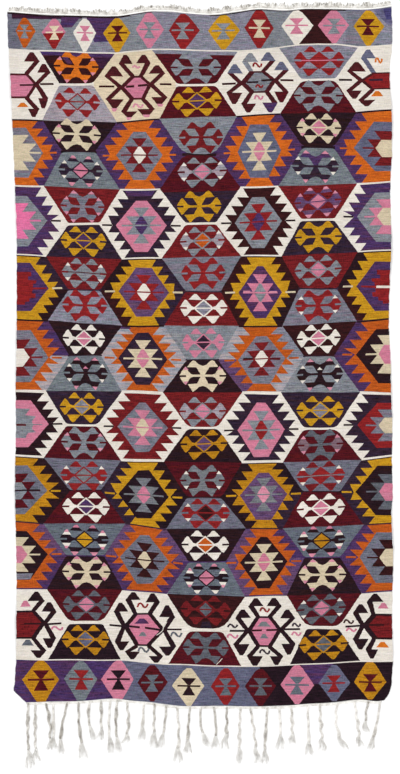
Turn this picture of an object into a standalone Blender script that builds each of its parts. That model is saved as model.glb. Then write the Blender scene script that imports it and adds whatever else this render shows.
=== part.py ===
"""Flat-woven kilim rug lying on a floor: one woven sheet, and a twined end with its fringe at
each short side. Metres, +Z up. The rug's length runs along Y and its width along X."""

import math

import bmesh
import bpy
import numpy as np

RUG = "kilim_rug"
HELPERS = "kilim_rug_helpers"

# The woven sheet
SHEET_THICK = 0.003
CELLS_ACROSS = 36
CELLS_ALONG = 60
CORNER_ROWS = 3           # closer rows at the low end, where the corners turn in
CORNER_STEP = 0.0085      # their spacing, as a share of the length

# Side edges from the low end up: place along the rug, left edge, right edge
SELVEDGES = np.array([
    (-0.9742, -0.5389, 0.5631),
    (-0.9556, -0.5591, 0.5792),
    (-0.9370, -0.5780, 0.5892),
    (-0.9060, -0.5746, 0.5926),
    (-0.8410, -0.5709, 0.5966),
    (-0.7200, -0.5699, 0.5941),
    (-0.6270, -0.5690, 0.5957),
    (-0.5340, -0.5699, 0.5972),
    (-0.3945, -0.5727, 0.5919),
    (-0.3170, -0.5740, 0.5963),
    (-0.2395, -0.5737, 0.5935),
    (-0.1310, -0.5712, 0.5947),
    (-0.0070, -0.5721, 0.5907),
    (0.0860, -0.5699, 0.5895),
    (0.1945, -0.5687, 0.5842),
    (0.3650, -0.5687, 0.5880),
    (0.4425, -0.5681, 0.5916),
    (0.6254, -0.5743, 0.5885),
    (0.7308, -0.5786, 0.5935),
    (0.8300, -0.5826, 0.5935),
    (0.9726, -0.5888, 0.5864),
    (1.0905, -0.5963, 0.5950),
    (1.1741, -0.5978, 0.5926),
], dtype=[("along", float), ("left", float), ("right", float)])

# End edges from left to right: place across the rug, low edge, high edge
ENDS = np.array([
    (-0.5978, -0.9732, 1.1648),
    (-0.5188, -0.9729, 1.1583),
    (-0.3731, -0.9692, 1.1527),
    (-0.2615, -0.9627, 1.1518),
    (-0.2181, -0.9674, 1.1565),
    (-0.1561, -0.9729, 1.1658),
    (-0.1065, -0.9804, 1.1661),
    (-0.0445, -0.9850, 1.1602),
    (0.0268, -0.9850, 1.1555),
    (0.1136, -0.9853, 1.1645),
    (0.1849, -0.9860, 1.1729),
    (0.2655, -0.9838, 1.1692),
    (0.3306, -0.9779, 1.1738),
    (0.4143, -0.9742, 1.1738),
    (0.4980, -0.9649, 1.1713),
    (0.5476, -0.9698, 1.1747),
    (0.5941, -0.9643, 1.1822),
], dtype=[("across", float), ("low", float), ("high", float)])

# Low places where the sheet lifts off the floor: centre, half sizes and rise
LIFTS = np.array([
    (-0.600, 0.930, 0.110, 0.200, 0.0060),
    (-0.585, 0.520, 0.120, 0.170, 0.0045),
    (-0.575, 0.110, 0.100, 0.190, 0.0055),
    (-0.580, -0.330, 0.130, 0.180, 0.0040),
    (-0.575, -0.740, 0.110, 0.160, 0.0060),
    (0.600, 0.840, 0.120, 0.190, 0.0050),
    (0.595, 0.420, 0.110, 0.160, 0.0065),
    (0.590, -0.020, 0.130, 0.200, 0.0045),
    (0.600, -0.460, 0.110, 0.170, 0.0060),
    (0.595, -0.810, 0.120, 0.120, 0.0040),
    (-0.190, 0.760, 0.260, 0.120, 0.0030),
    (0.250, 0.560, 0.240, 0.110, 0.0026),
    (-0.270, 0.240, 0.220, 0.130, 0.0028),
    (0.210, -0.260, 0.250, 0.110, 0.0030),
    (-0.230, -0.560, 0.240, 0.120, 0.0027),
    (0.260, -0.700, 0.220, 0.110, 0.0025),
], dtype=[("across", float), ("along", float), ("half_across", float), ("half_along", float),
          ("rise", float)])
LIFT_POWER = 1.5          # above 1, a lift is more peaked
LEVEL_END = 0.075         # length beside each end where the sheet lies flat

# The twined ends
PART_GAP = 0.0003
LOW_BAND_WIDE = 0.0090
LOW_BAND_THICK = 0.0048
HIGH_BAND_WIDE = 0.0048
HIGH_BAND_THICK = 0.0036
BAND_INSET = 0.002        # how far a band stops short of the sheet's corners

# Locks of warp at the low end: root across the rug, length, sideways run to the tip, bow, tip width
LOW_LOCKS = np.array([
    (-0.533, 0.210, 0.006, -0.005, 0.017),
    (-0.511, 0.184, 0.002, -0.002, 0.014),
    (-0.478, 0.149, 0.011, 0.008, 0.011),
    (-0.455, 0.147, 0.002, 0.000, 0.010),
    (-0.412, 0.164, -0.021, -0.009, 0.012),
    (-0.377, 0.180, 0.019, -0.003, 0.018),
    (-0.343, 0.122, 0.016, -0.008, 0.011),
    (-0.307, 0.127, 0.001, 0.000, 0.012),
    (-0.278, 0.169, 0.004, -0.006, 0.012),
    (-0.257, 0.167, 0.006, -0.006, 0.012),
    (-0.228, 0.133, -0.004, 0.008, 0.015),
    (-0.175, 0.121, -0.008, 0.001, 0.016),
    (-0.141, 0.141, -0.002, 0.000, 0.017),
    (-0.106, 0.136, -0.019, 0.001, 0.016),
    (-0.072, 0.178, 0.000, 0.005, 0.018),
    (-0.032, 0.149, -0.006, -0.002, 0.016),
    (0.003, 0.126, 0.026, -0.010, 0.015),
    (0.042, 0.135, 0.004, 0.004, 0.017),
    (0.082, 0.135, -0.004, 0.003, 0.018),
    (0.125, 0.178, -0.001, -0.003, 0.016),
    (0.155, 0.176, 0.020, 0.003, 0.013),
    (0.208, 0.178, -0.010, -0.003, 0.016),
    (0.244, 0.136, 0.000, 0.004, 0.017),
    (0.282, 0.119, 0.002, 0.000, 0.015),
    (0.333, 0.164, 0.005, 0.001, 0.017),
    (0.371, 0.150, 0.009, 0.002, 0.016),
    (0.426, 0.147, 0.027, -0.012, 0.017),
    (0.478, 0.146, 0.018, 0.004, 0.014),
    (0.521, 0.099, -0.008, -0.005, 0.013),
    (0.556, 0.152, -0.033, 0.001, 0.013),
], dtype=[("root", float), ("length", float), ("run", float), ("bow", float), ("tip", float)])
LOW_LOCK_WIDE = 0.0078
LOW_LOCK_STEPS = 9
BRUSH_START = 0.70        # share of a lock's length where it opens into a brush
BRUSH_RUN = 0.22          # share over which it opens
RUN_POWER = 1.3           # above 1, a lock leaves its band straighter than it ends

# Short cut warp ends at the high end
HIGH_TUFTS = 84
HIGH_TUFT_LENGTH = (0.007, 0.018)
HIGH_REACH = 1.1925       # no tuft reaches past this place along the rug
HIGH_TUFT_WIDE = 0.0046
HIGH_TUFT_SPREAD = 0.5    # most that a tuft's tip widens, as a share
HIGH_TUFT_RUN = 0.008     # most that a tuft leans, from side to side
HIGH_TUFT_SHORTER = 1.4   # above 1, more of the tufts are short
HIGH_TUFT_STEPS = 2

ROOT_DEPTH = 0.0030       # how far a lock runs back into its band
ROOT_NARROW = 0.8         # its width there, as a share
ROOT_LIFT = 0.0004        # a lock's base stands this much off the floor inside the band
ROOT_CLEAR = 0.0015       # past the band by this much, it lies on the floor

# Slot: base colour, roughness
MATERIALS = {
    "kilim_wool": ((0.30, 0.13, 0.14, 1.0), 0.92),
    "warp_cotton": ((0.76, 0.70, 0.56, 1.0), 0.90),
}


def clear_scene():
    for obj in list(bpy.data.objects):
        bpy.data.objects.remove(obj, do_unlink=True)


def make_collection(name, shown):
    collection = bpy.data.collections.new(name)
    bpy.context.scene.collection.children.link(collection)
    collection.hide_render = not shown
    return collection


def make_material(slot):
    colour, rough = MATERIALS[slot]
    material = bpy.data.materials.new(slot)
    material.use_nodes = True
    shader = material.node_tree.nodes["Principled BSDF"]
    shader.inputs["Base Color"].default_value = colour
    shader.inputs["Roughness"].default_value = rough
    return material


def smooth_line(at, stations, values):
    """A curve through the stations that doesn't overshoot between them."""
    gaps = np.diff(stations)
    rises = np.diff(values) / gaps
    slopes = np.concatenate([rises[:1], (rises[1:] + rises[:-1]) / 2, rises[-1:]])
    slopes[1:-1][rises[1:] * rises[:-1] <= 0] = 0.0
    k = np.clip(np.searchsorted(stations, at) - 1, 0, len(gaps) - 1)
    t = np.clip((at - stations[k]) / gaps[k], 0.0, 1.0)
    near = (1 + 2 * t) * (1 - t) ** 2 * values[k] + t * t * (3 - 2 * t) * values[k + 1]
    lean = t * (1 - t) ** 2 * slopes[k] - t * t * (1 - t) * slopes[k + 1]
    return near + gaps[k] * lean


def low_edge(across):
    return smooth_line(across, ENDS["across"], ENDS["low"])


def high_edge(across):
    return smooth_line(across, ENDS["across"], ENDS["high"])


def lift(across, along):
    """Height of the sheet's underside above the floor."""
    height = np.zeros_like(across)
    for place in LIFTS:
        u = (across - place["across"]) / place["half_across"]
        v = (along - place["along"]) / place["half_along"]
        reach = np.clip(np.hypot(u, v), 0.0, 1.0)
        height += place["rise"] * (0.5 + 0.5 * np.cos(math.pi * reach)) ** LIFT_POWER
    from_low = np.clip((along - low_edge(across)) / LEVEL_END - 1.0, 0.0, 1.0)
    from_high = np.clip((high_edge(across) - along) / LEVEL_END - 1.0, 0.0, 1.0)
    fade = from_low * from_high
    return height * fade * fade * (3 - 2 * fade)


def sheet_points():
    """The sheet's underside as a grid of points, row by row from the low end."""
    even = np.linspace(0.0, 1.0, CELLS_ALONG + 1)
    corner = CORNER_STEP * np.arange(1, CORNER_ROWS + 1)
    rows = np.concatenate([even[:1], corner, even[even > corner[-1] + 0.5 * CORNER_STEP]])
    t, s = np.meshgrid(rows, np.linspace(0.0, 1.0, CELLS_ACROSS + 1), indexing="ij")
    low, high = ENDS["low"].mean(), ENDS["high"].mean()
    along = low + (high - low) * t
    for _ in range(4):
        left = smooth_line(along, SELVEDGES["along"], SELVEDGES["left"])
        right = smooth_line(along, SELVEDGES["along"], SELVEDGES["right"])
        across = left + (right - left) * s
        along = low_edge(across) + (high_edge(across) - low_edge(across)) * t
    return np.stack([across, along, lift(across, along)], axis=-1)


def add_laid_grid(form, points):
    """Adds a grid to the form and moves its points onto these rows of points."""
    rows, columns = points.shape[:2]
    made = bmesh.ops.create_grid(form, x_segments=columns - 1, y_segments=rows - 1, size=1.0)
    for vert in made["verts"]:
        i = round((vert.co.y + 1.0) / 2.0 * (rows - 1))
        j = round((vert.co.x + 1.0) / 2.0 * (columns - 1))
        vert.co = points[i, j]


def make_cloth(name, grids, thick, collection, material):
    """Open grids laid over the floor, with their thickness on top."""
    form = bmesh.new()
    for points in grids:
        add_laid_grid(form, points)
    mesh = bpy.data.meshes.new(name)
    form.to_mesh(mesh)
    form.free()
    mesh.materials.append(material)
    obj = bpy.data.objects.new(name, mesh)
    collection.objects.link(obj)
    solid = obj.modifiers.new("thickness", "SOLIDIFY")
    solid.thickness = thick
    solid.offset = 1.0
    return obj


def band_points(end_row, side, wide):
    """A level strip beside an end row of the sheet, parted from it by the gap."""
    across = end_row[:, 0].copy()
    across[0] += BAND_INSET
    across[-1] -= BAND_INSET
    edge = np.interp(across, end_row[:, 0], end_row[:, 1]) + side * PART_GAP
    level = np.zeros_like(across)
    return np.stack([np.column_stack([across, edge + reach, level])
                     for reach in sorted((0.0, side * wide))])


def lock_points(path, widths, bases):
    """A flat-lying lock along a path of (across, along) points."""
    path = np.array(path)
    ahead = np.gradient(path, axis=0)
    ahead /= np.linalg.norm(ahead, axis=1)[:, None]
    beside = np.column_stack([ahead[:, 1], -ahead[:, 0]]) * np.array(widths)[:, None] / 2
    sides = [np.column_stack([path - beside, bases]), np.column_stack([path + beside, bases])]
    return np.stack(sides, axis=1)


def ease(t):
    t = min(1.0, max(0.0, t))
    return t * t * (3 - 2 * t)


def low_lock(lock, band_edge):
    """One lock of the low fringe, from inside its band to its brush."""
    root = float(lock["root"])
    start = float(np.interp(root, *band_edge))
    path, widths, bases = [(root, start + ROOT_DEPTH)], [ROOT_NARROW * LOW_LOCK_WIDE], [ROOT_LIFT]
    for k in range(LOW_LOCK_STEPS + 1):
        t = k / LOW_LOCK_STEPS
        across = root + lock["run"] * t ** RUN_POWER + lock["bow"] * math.sin(math.pi * t)
        path.append((across, start - ROOT_CLEAR - (lock["length"] - ROOT_CLEAR) * t))
        brush = ease((t - BRUSH_START) / BRUSH_RUN)
        widths.append(LOW_LOCK_WIDE + (lock["tip"] - LOW_LOCK_WIDE) * brush)
        bases.append(0.0)
    return lock_points(path, widths, bases)


def spread(index, salt):
    """A fixed, uneven number between 0 and 1 for each index."""
    return math.sin(12.9898 * (index + 1) + 78.233 * salt) * 43758.5453 % 1.0


def high_tuft(index, band_edge):
    """One short cut warp end of the high fringe."""
    first, last = band_edge[0][0], band_edge[0][-1]
    pitch = (last - first) / HIGH_TUFTS
    root = first + pitch * (index + 0.5 + 0.25 * (spread(index, 1) - 0.5))
    start = float(np.interp(root, *band_edge))
    shortest, longest = HIGH_TUFT_LENGTH
    length = shortest + (longest - shortest) * spread(index, 2) ** HIGH_TUFT_SHORTER
    length = min(length, HIGH_REACH - start)
    run = HIGH_TUFT_RUN * (spread(index, 3) - 0.5)
    path, widths, bases = [(root, start - ROOT_DEPTH)], [ROOT_NARROW * HIGH_TUFT_WIDE], [ROOT_LIFT]
    for k in range(HIGH_TUFT_STEPS + 1):
        t = k / HIGH_TUFT_STEPS
        path.append((root + run * t * t, start + ROOT_CLEAR + (length - ROOT_CLEAR) * t))
        widths.append(HIGH_TUFT_WIDE * (1.0 + HIGH_TUFT_SPREAD * t * spread(index, 4)))
        bases.append(0.0)
    return lock_points(path, widths, bases)


def fuse(band, locks):
    """Joins an end's locks to its band, and leaves them as a hidden helper."""
    locks.hide_render = True
    locks.display_type = "WIRE"
    union = band.modifiers.new("locks", "BOOLEAN")
    union.operation = "UNION"
    union.solver = "EXACT"
    union.object = locks


def main():
    clear_scene()
    shown, helpers = make_collection(RUG, True), make_collection(HELPERS, False)
    wool, cotton = make_material("kilim_wool"), make_material("warp_cotton")

    sheet = sheet_points()
    make_cloth("kilim_field", [sheet], SHEET_THICK, shown, wool)

    low = band_points(sheet[0], -1, LOW_BAND_WIDE)
    low_rim = (low[0, :, 0], low[0, :, 1])
    low_band = make_cloth("fringe_bottom", [low], LOW_BAND_THICK, shown, cotton)
    locks = make_cloth("low_locks", [low_lock(lock, low_rim) for lock in LOW_LOCKS],
                       LOW_BAND_THICK - 2 * ROOT_LIFT, helpers, cotton)
    fuse(low_band, locks)

    high = band_points(sheet[-1], 1, HIGH_BAND_WIDE)
    high_rim = (high[1, :, 0], high[1, :, 1])
    high_band = make_cloth("fringe_top", [high], HIGH_BAND_THICK, shown, cotton)
    tufts = make_cloth("high_tufts", [high_tuft(i, high_rim) for i in range(HIGH_TUFTS)],
                       HIGH_BAND_THICK - 2 * ROOT_LIFT, helpers, cotton)
    fuse(high_band, tufts)


main()
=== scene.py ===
"""Flat-woven kilim rug with its twined and fringed ends, seen lying on a pale floor.

The woven pattern is charted on a plan of the rug. A chart unit is 3.1 mm of rug, X runs to the
right along the weft and Y runs down the rug's length from the chart's upper left corner.
Rows of hexagons lie between stacked pairs of trapezoids: an upper one with its wide side on top,
and a lower one with its wide side below. They meet at a waist."""

import math
from itertools import product

import bpy
import numpy as np
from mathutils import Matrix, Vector
from mathutils.geometry import delaunay_2d_cdt


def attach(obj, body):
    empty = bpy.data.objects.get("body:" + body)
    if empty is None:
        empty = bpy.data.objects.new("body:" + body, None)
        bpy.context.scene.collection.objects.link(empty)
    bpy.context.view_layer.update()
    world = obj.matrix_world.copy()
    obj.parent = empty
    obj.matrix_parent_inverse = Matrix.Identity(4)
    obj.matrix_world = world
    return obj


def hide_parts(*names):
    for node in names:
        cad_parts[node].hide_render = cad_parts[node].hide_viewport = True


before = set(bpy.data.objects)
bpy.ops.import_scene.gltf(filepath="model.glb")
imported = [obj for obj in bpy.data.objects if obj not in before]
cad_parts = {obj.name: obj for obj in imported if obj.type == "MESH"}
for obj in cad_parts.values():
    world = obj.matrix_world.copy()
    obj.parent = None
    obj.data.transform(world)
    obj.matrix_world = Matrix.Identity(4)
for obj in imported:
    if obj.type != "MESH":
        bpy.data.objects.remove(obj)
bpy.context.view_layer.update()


def table(names, *rows):
    """A table of numbers with a name for each column."""
    return np.array(list(rows), dtype=[(name, float) for name in names.split()])


# ---------------------------------------------------------------------------------------------
# The rug's form, in metres

CHART_UNIT = 0.0031
CHART_SIZE = (400, 774)
CHART_MIDDLE = (200.35, 387.75)      # the rug's origin on the chart

SHEET_TOP = 0.0029         # the cloth's upper and lower face above the sheet's own folds
SHEET_UNDER = 0.0002

SELVEDGES = table(
    "along left right",
    (-0.9742, -0.5389, 0.5631), (-0.9556, -0.5591, 0.5792), (-0.9370, -0.5780, 0.5892),
    (-0.9060, -0.5746, 0.5926), (-0.8410, -0.5709, 0.5966), (-0.7200, -0.5699, 0.5941),
    (-0.6270, -0.5690, 0.5957), (-0.5340, -0.5699, 0.5972), (-0.3945, -0.5727, 0.5919),
    (-0.3170, -0.5740, 0.5963), (-0.2395, -0.5737, 0.5935), (-0.1310, -0.5712, 0.5947),
    (-0.0070, -0.5721, 0.5907), (0.0860, -0.5699, 0.5895), (0.1945, -0.5687, 0.5842),
    (0.3650, -0.5687, 0.5880), (0.4425, -0.5681, 0.5916), (0.6254, -0.5743, 0.5885),
    (0.7308, -0.5786, 0.5935), (0.8300, -0.5826, 0.5935), (0.9726, -0.5888, 0.5864),
    (1.0905, -0.5963, 0.5950), (1.1741, -0.5978, 0.5926),
)

ENDS = table(
    "across low high",
    (-0.5978, -0.9732, 1.1648), (-0.5188, -0.9729, 1.1583), (-0.3731, -0.9692, 1.1527),
    (-0.2615, -0.9627, 1.1518), (-0.2181, -0.9674, 1.1565), (-0.1561, -0.9729, 1.1658),
    (-0.1065, -0.9804, 1.1661), (-0.0445, -0.9850, 1.1602), (0.0268, -0.9850, 1.1555),
    (0.1136, -0.9853, 1.1645), (0.1849, -0.9860, 1.1729), (0.2655, -0.9838, 1.1692),
    (0.3306, -0.9779, 1.1738), (0.4143, -0.9742, 1.1738), (0.4980, -0.9649, 1.1713),
    (0.5476, -0.9698, 1.1747), (0.5941, -0.9643, 1.1822),
)

# Low ovals where the sheet is off the floor
LIFTS = table(
    "across along half_across half_along rise",
    (-0.600, 0.930, 0.110, 0.200, 0.0060), (-0.585, 0.520, 0.120, 0.170, 0.0045),
    (-0.575, 0.110, 0.100, 0.190, 0.0055), (-0.580, -0.330, 0.130, 0.180, 0.0040),
    (-0.575, -0.740, 0.110, 0.160, 0.0060), (0.600, 0.840, 0.120, 0.190, 0.0050),
    (0.595, 0.420, 0.110, 0.160, 0.0065), (0.590, -0.020, 0.130, 0.200, 0.0045),
    (0.600, -0.460, 0.110, 0.170, 0.0060), (0.595, -0.810, 0.120, 0.120, 0.0040),
    (-0.190, 0.760, 0.260, 0.120, 0.0030), (0.250, 0.560, 0.240, 0.110, 0.0026),
    (-0.270, 0.240, 0.220, 0.130, 0.0028), (0.210, -0.260, 0.250, 0.110, 0.0030),
    (-0.230, -0.560, 0.240, 0.120, 0.0027), (0.260, -0.700, 0.220, 0.110, 0.0025),
)
LIFT_POWER = 1.5           # how peaked they are
LEVEL_END = 0.075          # length at each end that lies flat, and over which the lifts then set in

# Locks of warp at the low end: root across the rug, length, sideways run, bow, tip width
LOW_LOCKS = table(
    "root length run bow tip",
    (-0.533, 0.210, 0.006, -0.005, 0.017), (-0.511, 0.184, 0.002, -0.002, 0.014),
    (-0.478, 0.149, 0.011, 0.008, 0.011), (-0.455, 0.147, 0.002, 0.000, 0.010),
    (-0.412, 0.164, -0.021, -0.009, 0.012), (-0.377, 0.180, 0.019, -0.003, 0.018),
    (-0.343, 0.122, 0.016, -0.008, 0.011), (-0.307, 0.127, 0.001, 0.000, 0.012),
    (-0.278, 0.169, 0.004, -0.006, 0.012), (-0.257, 0.167, 0.006, -0.006, 0.012),
    (-0.228, 0.133, -0.004, 0.008, 0.015), (-0.175, 0.121, -0.008, 0.001, 0.016),
    (-0.141, 0.141, -0.002, 0.000, 0.017), (-0.106, 0.136, -0.019, 0.001, 0.016),
    (-0.072, 0.178, 0.000, 0.005, 0.018), (-0.032, 0.149, -0.006, -0.002, 0.016),
    (0.003, 0.126, 0.026, -0.010, 0.015), (0.042, 0.135, 0.004, 0.004, 0.017),
    (0.082, 0.135, -0.004, 0.003, 0.018), (0.125, 0.178, -0.001, -0.003, 0.016),
    (0.155, 0.176, 0.020, 0.003, 0.013), (0.208, 0.178, -0.010, -0.003, 0.016),
    (0.244, 0.136, 0.000, 0.004, 0.017), (0.282, 0.119, 0.002, 0.000, 0.015),
    (0.333, 0.164, 0.005, 0.001, 0.017), (0.371, 0.150, 0.009, 0.002, 0.016),
    (0.426, 0.147, 0.027, -0.012, 0.017), (0.478, 0.146, 0.018, 0.004, 0.014),
    (0.521, 0.099, -0.008, -0.005, 0.013), (0.556, 0.152, -0.033, 0.001, 0.013),
)
PART_GAP = 0.0003          # between the sheet and what is at its ends

# ---------------------------------------------------------------------------------------------
# Yarns: main dye and the second dye lot that streaks it, as 0-255 screen colours that were worked
# back from the wanted look under this scene's light, and how strongly its single threads differ

YARNS = {
    "white": ((220, 213, 206), (212, 204, 191), 0.30),
    "ivory": ((210, 195, 168), (203, 185, 159), 0.40),
    "cream": ((201, 186, 159), (191, 176, 149), 0.45),
    "mustard": ((187, 140, 27), (174, 125, 22), 0.70),
    "gold": ((176, 123, 21), (162, 109, 18), 0.75),
    "amber": ((201, 107, 29), (189, 96, 24), 0.65),
    "orange": ((180, 85, 22), (164, 72, 24), 0.75),
    "tangerine": ((195, 97, 26), (179, 83, 24), 0.70),
    "red": ((134, 30, 29), (118, 25, 31), 0.90),
    "crimson": ((110, 25, 27), (94, 20, 26), 1.10),
    "maroon": ((80, 14, 19), (66, 9, 24), 1.20),
    "brown": ((53, 18, 19), (39, 12, 16), 1.40),
    "umber": ((73, 22, 28), (60, 18, 23), 1.20),
    "black": ((38, 15, 16), (31, 16, 27), 1.55),
    "navy": ((48, 28, 37), (37, 27, 49), 1.50),
    "night": ((23, 9, 19), (35, 18, 27), 1.60),
    "aubergine": ((58, 24, 42), (46, 24, 54), 1.30),
    "purple": ((76, 43, 72), (60, 44, 92), 1.20),
    "mauve": ((95, 64, 89), (83, 61, 103), 1.15),
    "violet": ((72, 66, 112), (62, 58, 106), 1.00),
    "indigo": ((99, 97, 124), (88, 86, 116), 1.00),
    "teal": ((110, 117, 120), (99, 104, 114), 1.00),
    "sea": ((94, 102, 108), (86, 90, 105), 1.00),
    "slate": ((119, 106, 120), (102, 112, 122), 1.00),
    "grey": ((125, 125, 129), (114, 120, 130), 0.95),
    "stone": ((111, 113, 115), (103, 106, 115), 0.95),
    "steel": ((90, 91, 98), (80, 85, 94), 1.00),
    "lavender": ((131, 122, 138), (112, 120, 130), 1.00),
    "lilac": ((156, 140, 147), (136, 136, 146), 0.85),
    "haze": ((174, 154, 152), (118, 134, 149), 0.70),
    "dusk": ((103, 100, 116), (95, 99, 109), 1.00),
    "blue": ((95, 93, 114), (84, 89, 111), 1.00),
    "pink": ((193, 111, 135), (185, 117, 138), 0.50),
    "rose": ((203, 137, 154), (192, 120, 141), 0.50),
    "fuchsia": ((214, 103, 147), (205, 108, 150), 0.50),
    "heather": ((122, 96, 104), (108, 86, 98), 0.90),
}

# ---------------------------------------------------------------------------------------------
# The pattern's lattice, in chart units

# Lines between the rows: height at the left edge, six corners of the trapezoids, right edge
ROW_LINES = table(
    "left x1 y1 x2 y2 x3 y3 x4 y4 x5 y5 x6 y6 right",
    (49.6, 39.6, 50.4, 115.2, 53.3, 151.4, 49.0, 238.0, 51.2, 278.8, 47.6, 358.2, 47.0, 44.9),
    (119.2, 42.5, 120.2, 117.2, 122.0, 159.5, 118.4, 237.0, 115.8, 280.3, 113.2, 356.3, 112.0, 109.5),
    (185.4, 44.0, 186.0, 120.0, 189.5, 160.0, 189.0, 240.5, 187.0, 278.5, 186.2, 357.0, 183.5, 181.4),
    (254.5, 46.0, 256.0, 122.0, 258.8, 162.0, 257.8, 241.0, 255.8, 281.5, 255.6, 357.8, 251.8, 250.0),
    (318.8, 48.0, 320.3, 122.0, 325.4, 164.3, 325.5, 238.7, 325.6, 282.3, 325.8, 356.8, 321.0, 318.0),
    (390.5, 46.0, 390.5, 122.0, 391.0, 163.0, 392.0, 242.5, 392.0, 281.0, 392.0, 360.0, 392.0, 393.0),
    (455.3, 44.0, 457.6, 121.0, 460.3, 164.0, 461.3, 242.0, 462.2, 283.0, 462.0, 361.5, 459.4, 456.0),
    (521.4, 43.5, 523.0, 125.5, 523.4, 166.0, 528.6, 246.0, 528.3, 283.0, 527.8, 363.6, 524.6, 522.4),
    (588.2, 47.0, 589.0, 122.5, 589.2, 167.0, 593.5, 245.0, 596.0, 286.8, 595.0, 361.5, 592.6, 591.0),
    (659.0, 47.8, 659.5, 121.0, 659.8, 168.0, 664.0, 241.6, 666.4, 289.9, 664.8, 360.4, 661.2, 660.8),
)
LEFT_AT, RIGHT_AT = 17.0, 391.0      # where the heights at the edges were taken

# Bends of the row lines between those corners: line, place
LINE_BENDS = ((0, (300.0, 44.8)), (0, (318.0, 43.8)), (0, (336.0, 44.2)))

# Where each pair of trapezoids meets: left and right end and height, for the three columns
WAISTS = table(
    "l1 r1 y1 l2 r2 y2 l3 r3 y3",
    (59.2, 93.1, 84.3, 176.8, 216.0, 84.8, 301.0, 335.5, 79.5),
    (62.0, 95.5, 151.5, 183.3, 215.4, 154.5, 302.5, 334.2, 147.2),
    (68.1, 99.8, 223.7, 185.4, 216.2, 223.4, 301.0, 334.6, 219.6),
    (68.3, 100.2, 289.8, 185.4, 221.0, 291.5, 299.3, 337.0, 288.4),
    (69.2, 101.3, 355.3, 186.5, 218.2, 359.5, 304.2, 334.0, 356.0),
    (66.3, 97.5, 425.0, 187.8, 217.8, 427.5, 303.3, 336.5, 428.2),
    (70.0, 101.3, 490.0, 187.0, 221.7, 497.3, 303.0, 340.0, 491.3),
    (66.0, 104.2, 555.3, 188.7, 226.0, 561.6, 304.4, 340.5, 557.0),
    (69.0, 103.0, 622.2, 189.0, 223.0, 629.8, 306.4, 339.0, 627.3),
)

# A stripe between the two trapezoids of a pair: thickness and yarn, row by row
WAIST_STRIPES = (
    (2.2, "white"), (1.4, "black"), (2.2, "white"), (1.3, "navy"), (0.8, "navy"),
    (2.0, "white"), (1.0, "black"), (1.0, "purple"), (3.0, "white"),
)

# Stripes along the row lines, only over the hexagons where a line has rows on both sides: line,
# drop below it, thickness, yarn
LINE_STRIPES = (
    (0, -0.7, 1.3, "white"), (1, -0.2, 1.6, "black"), (2, -0.6, 1.2, "white"),
    (3, -0.9, 1.3, "white"), (3, 0.4, 1.2, "black"), (4, -0.3, 1.7, "black"),
    (5, -0.8, 1.8, "white"), (6, -0.9, 1.4, "white"), (6, 0.5, 1.0, "black"),
    (7, -0.5, 1.3, "navy"), (8, -1.0, 1.4, "purple"), (9, -0.6, 1.1, "white"),
)

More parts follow.
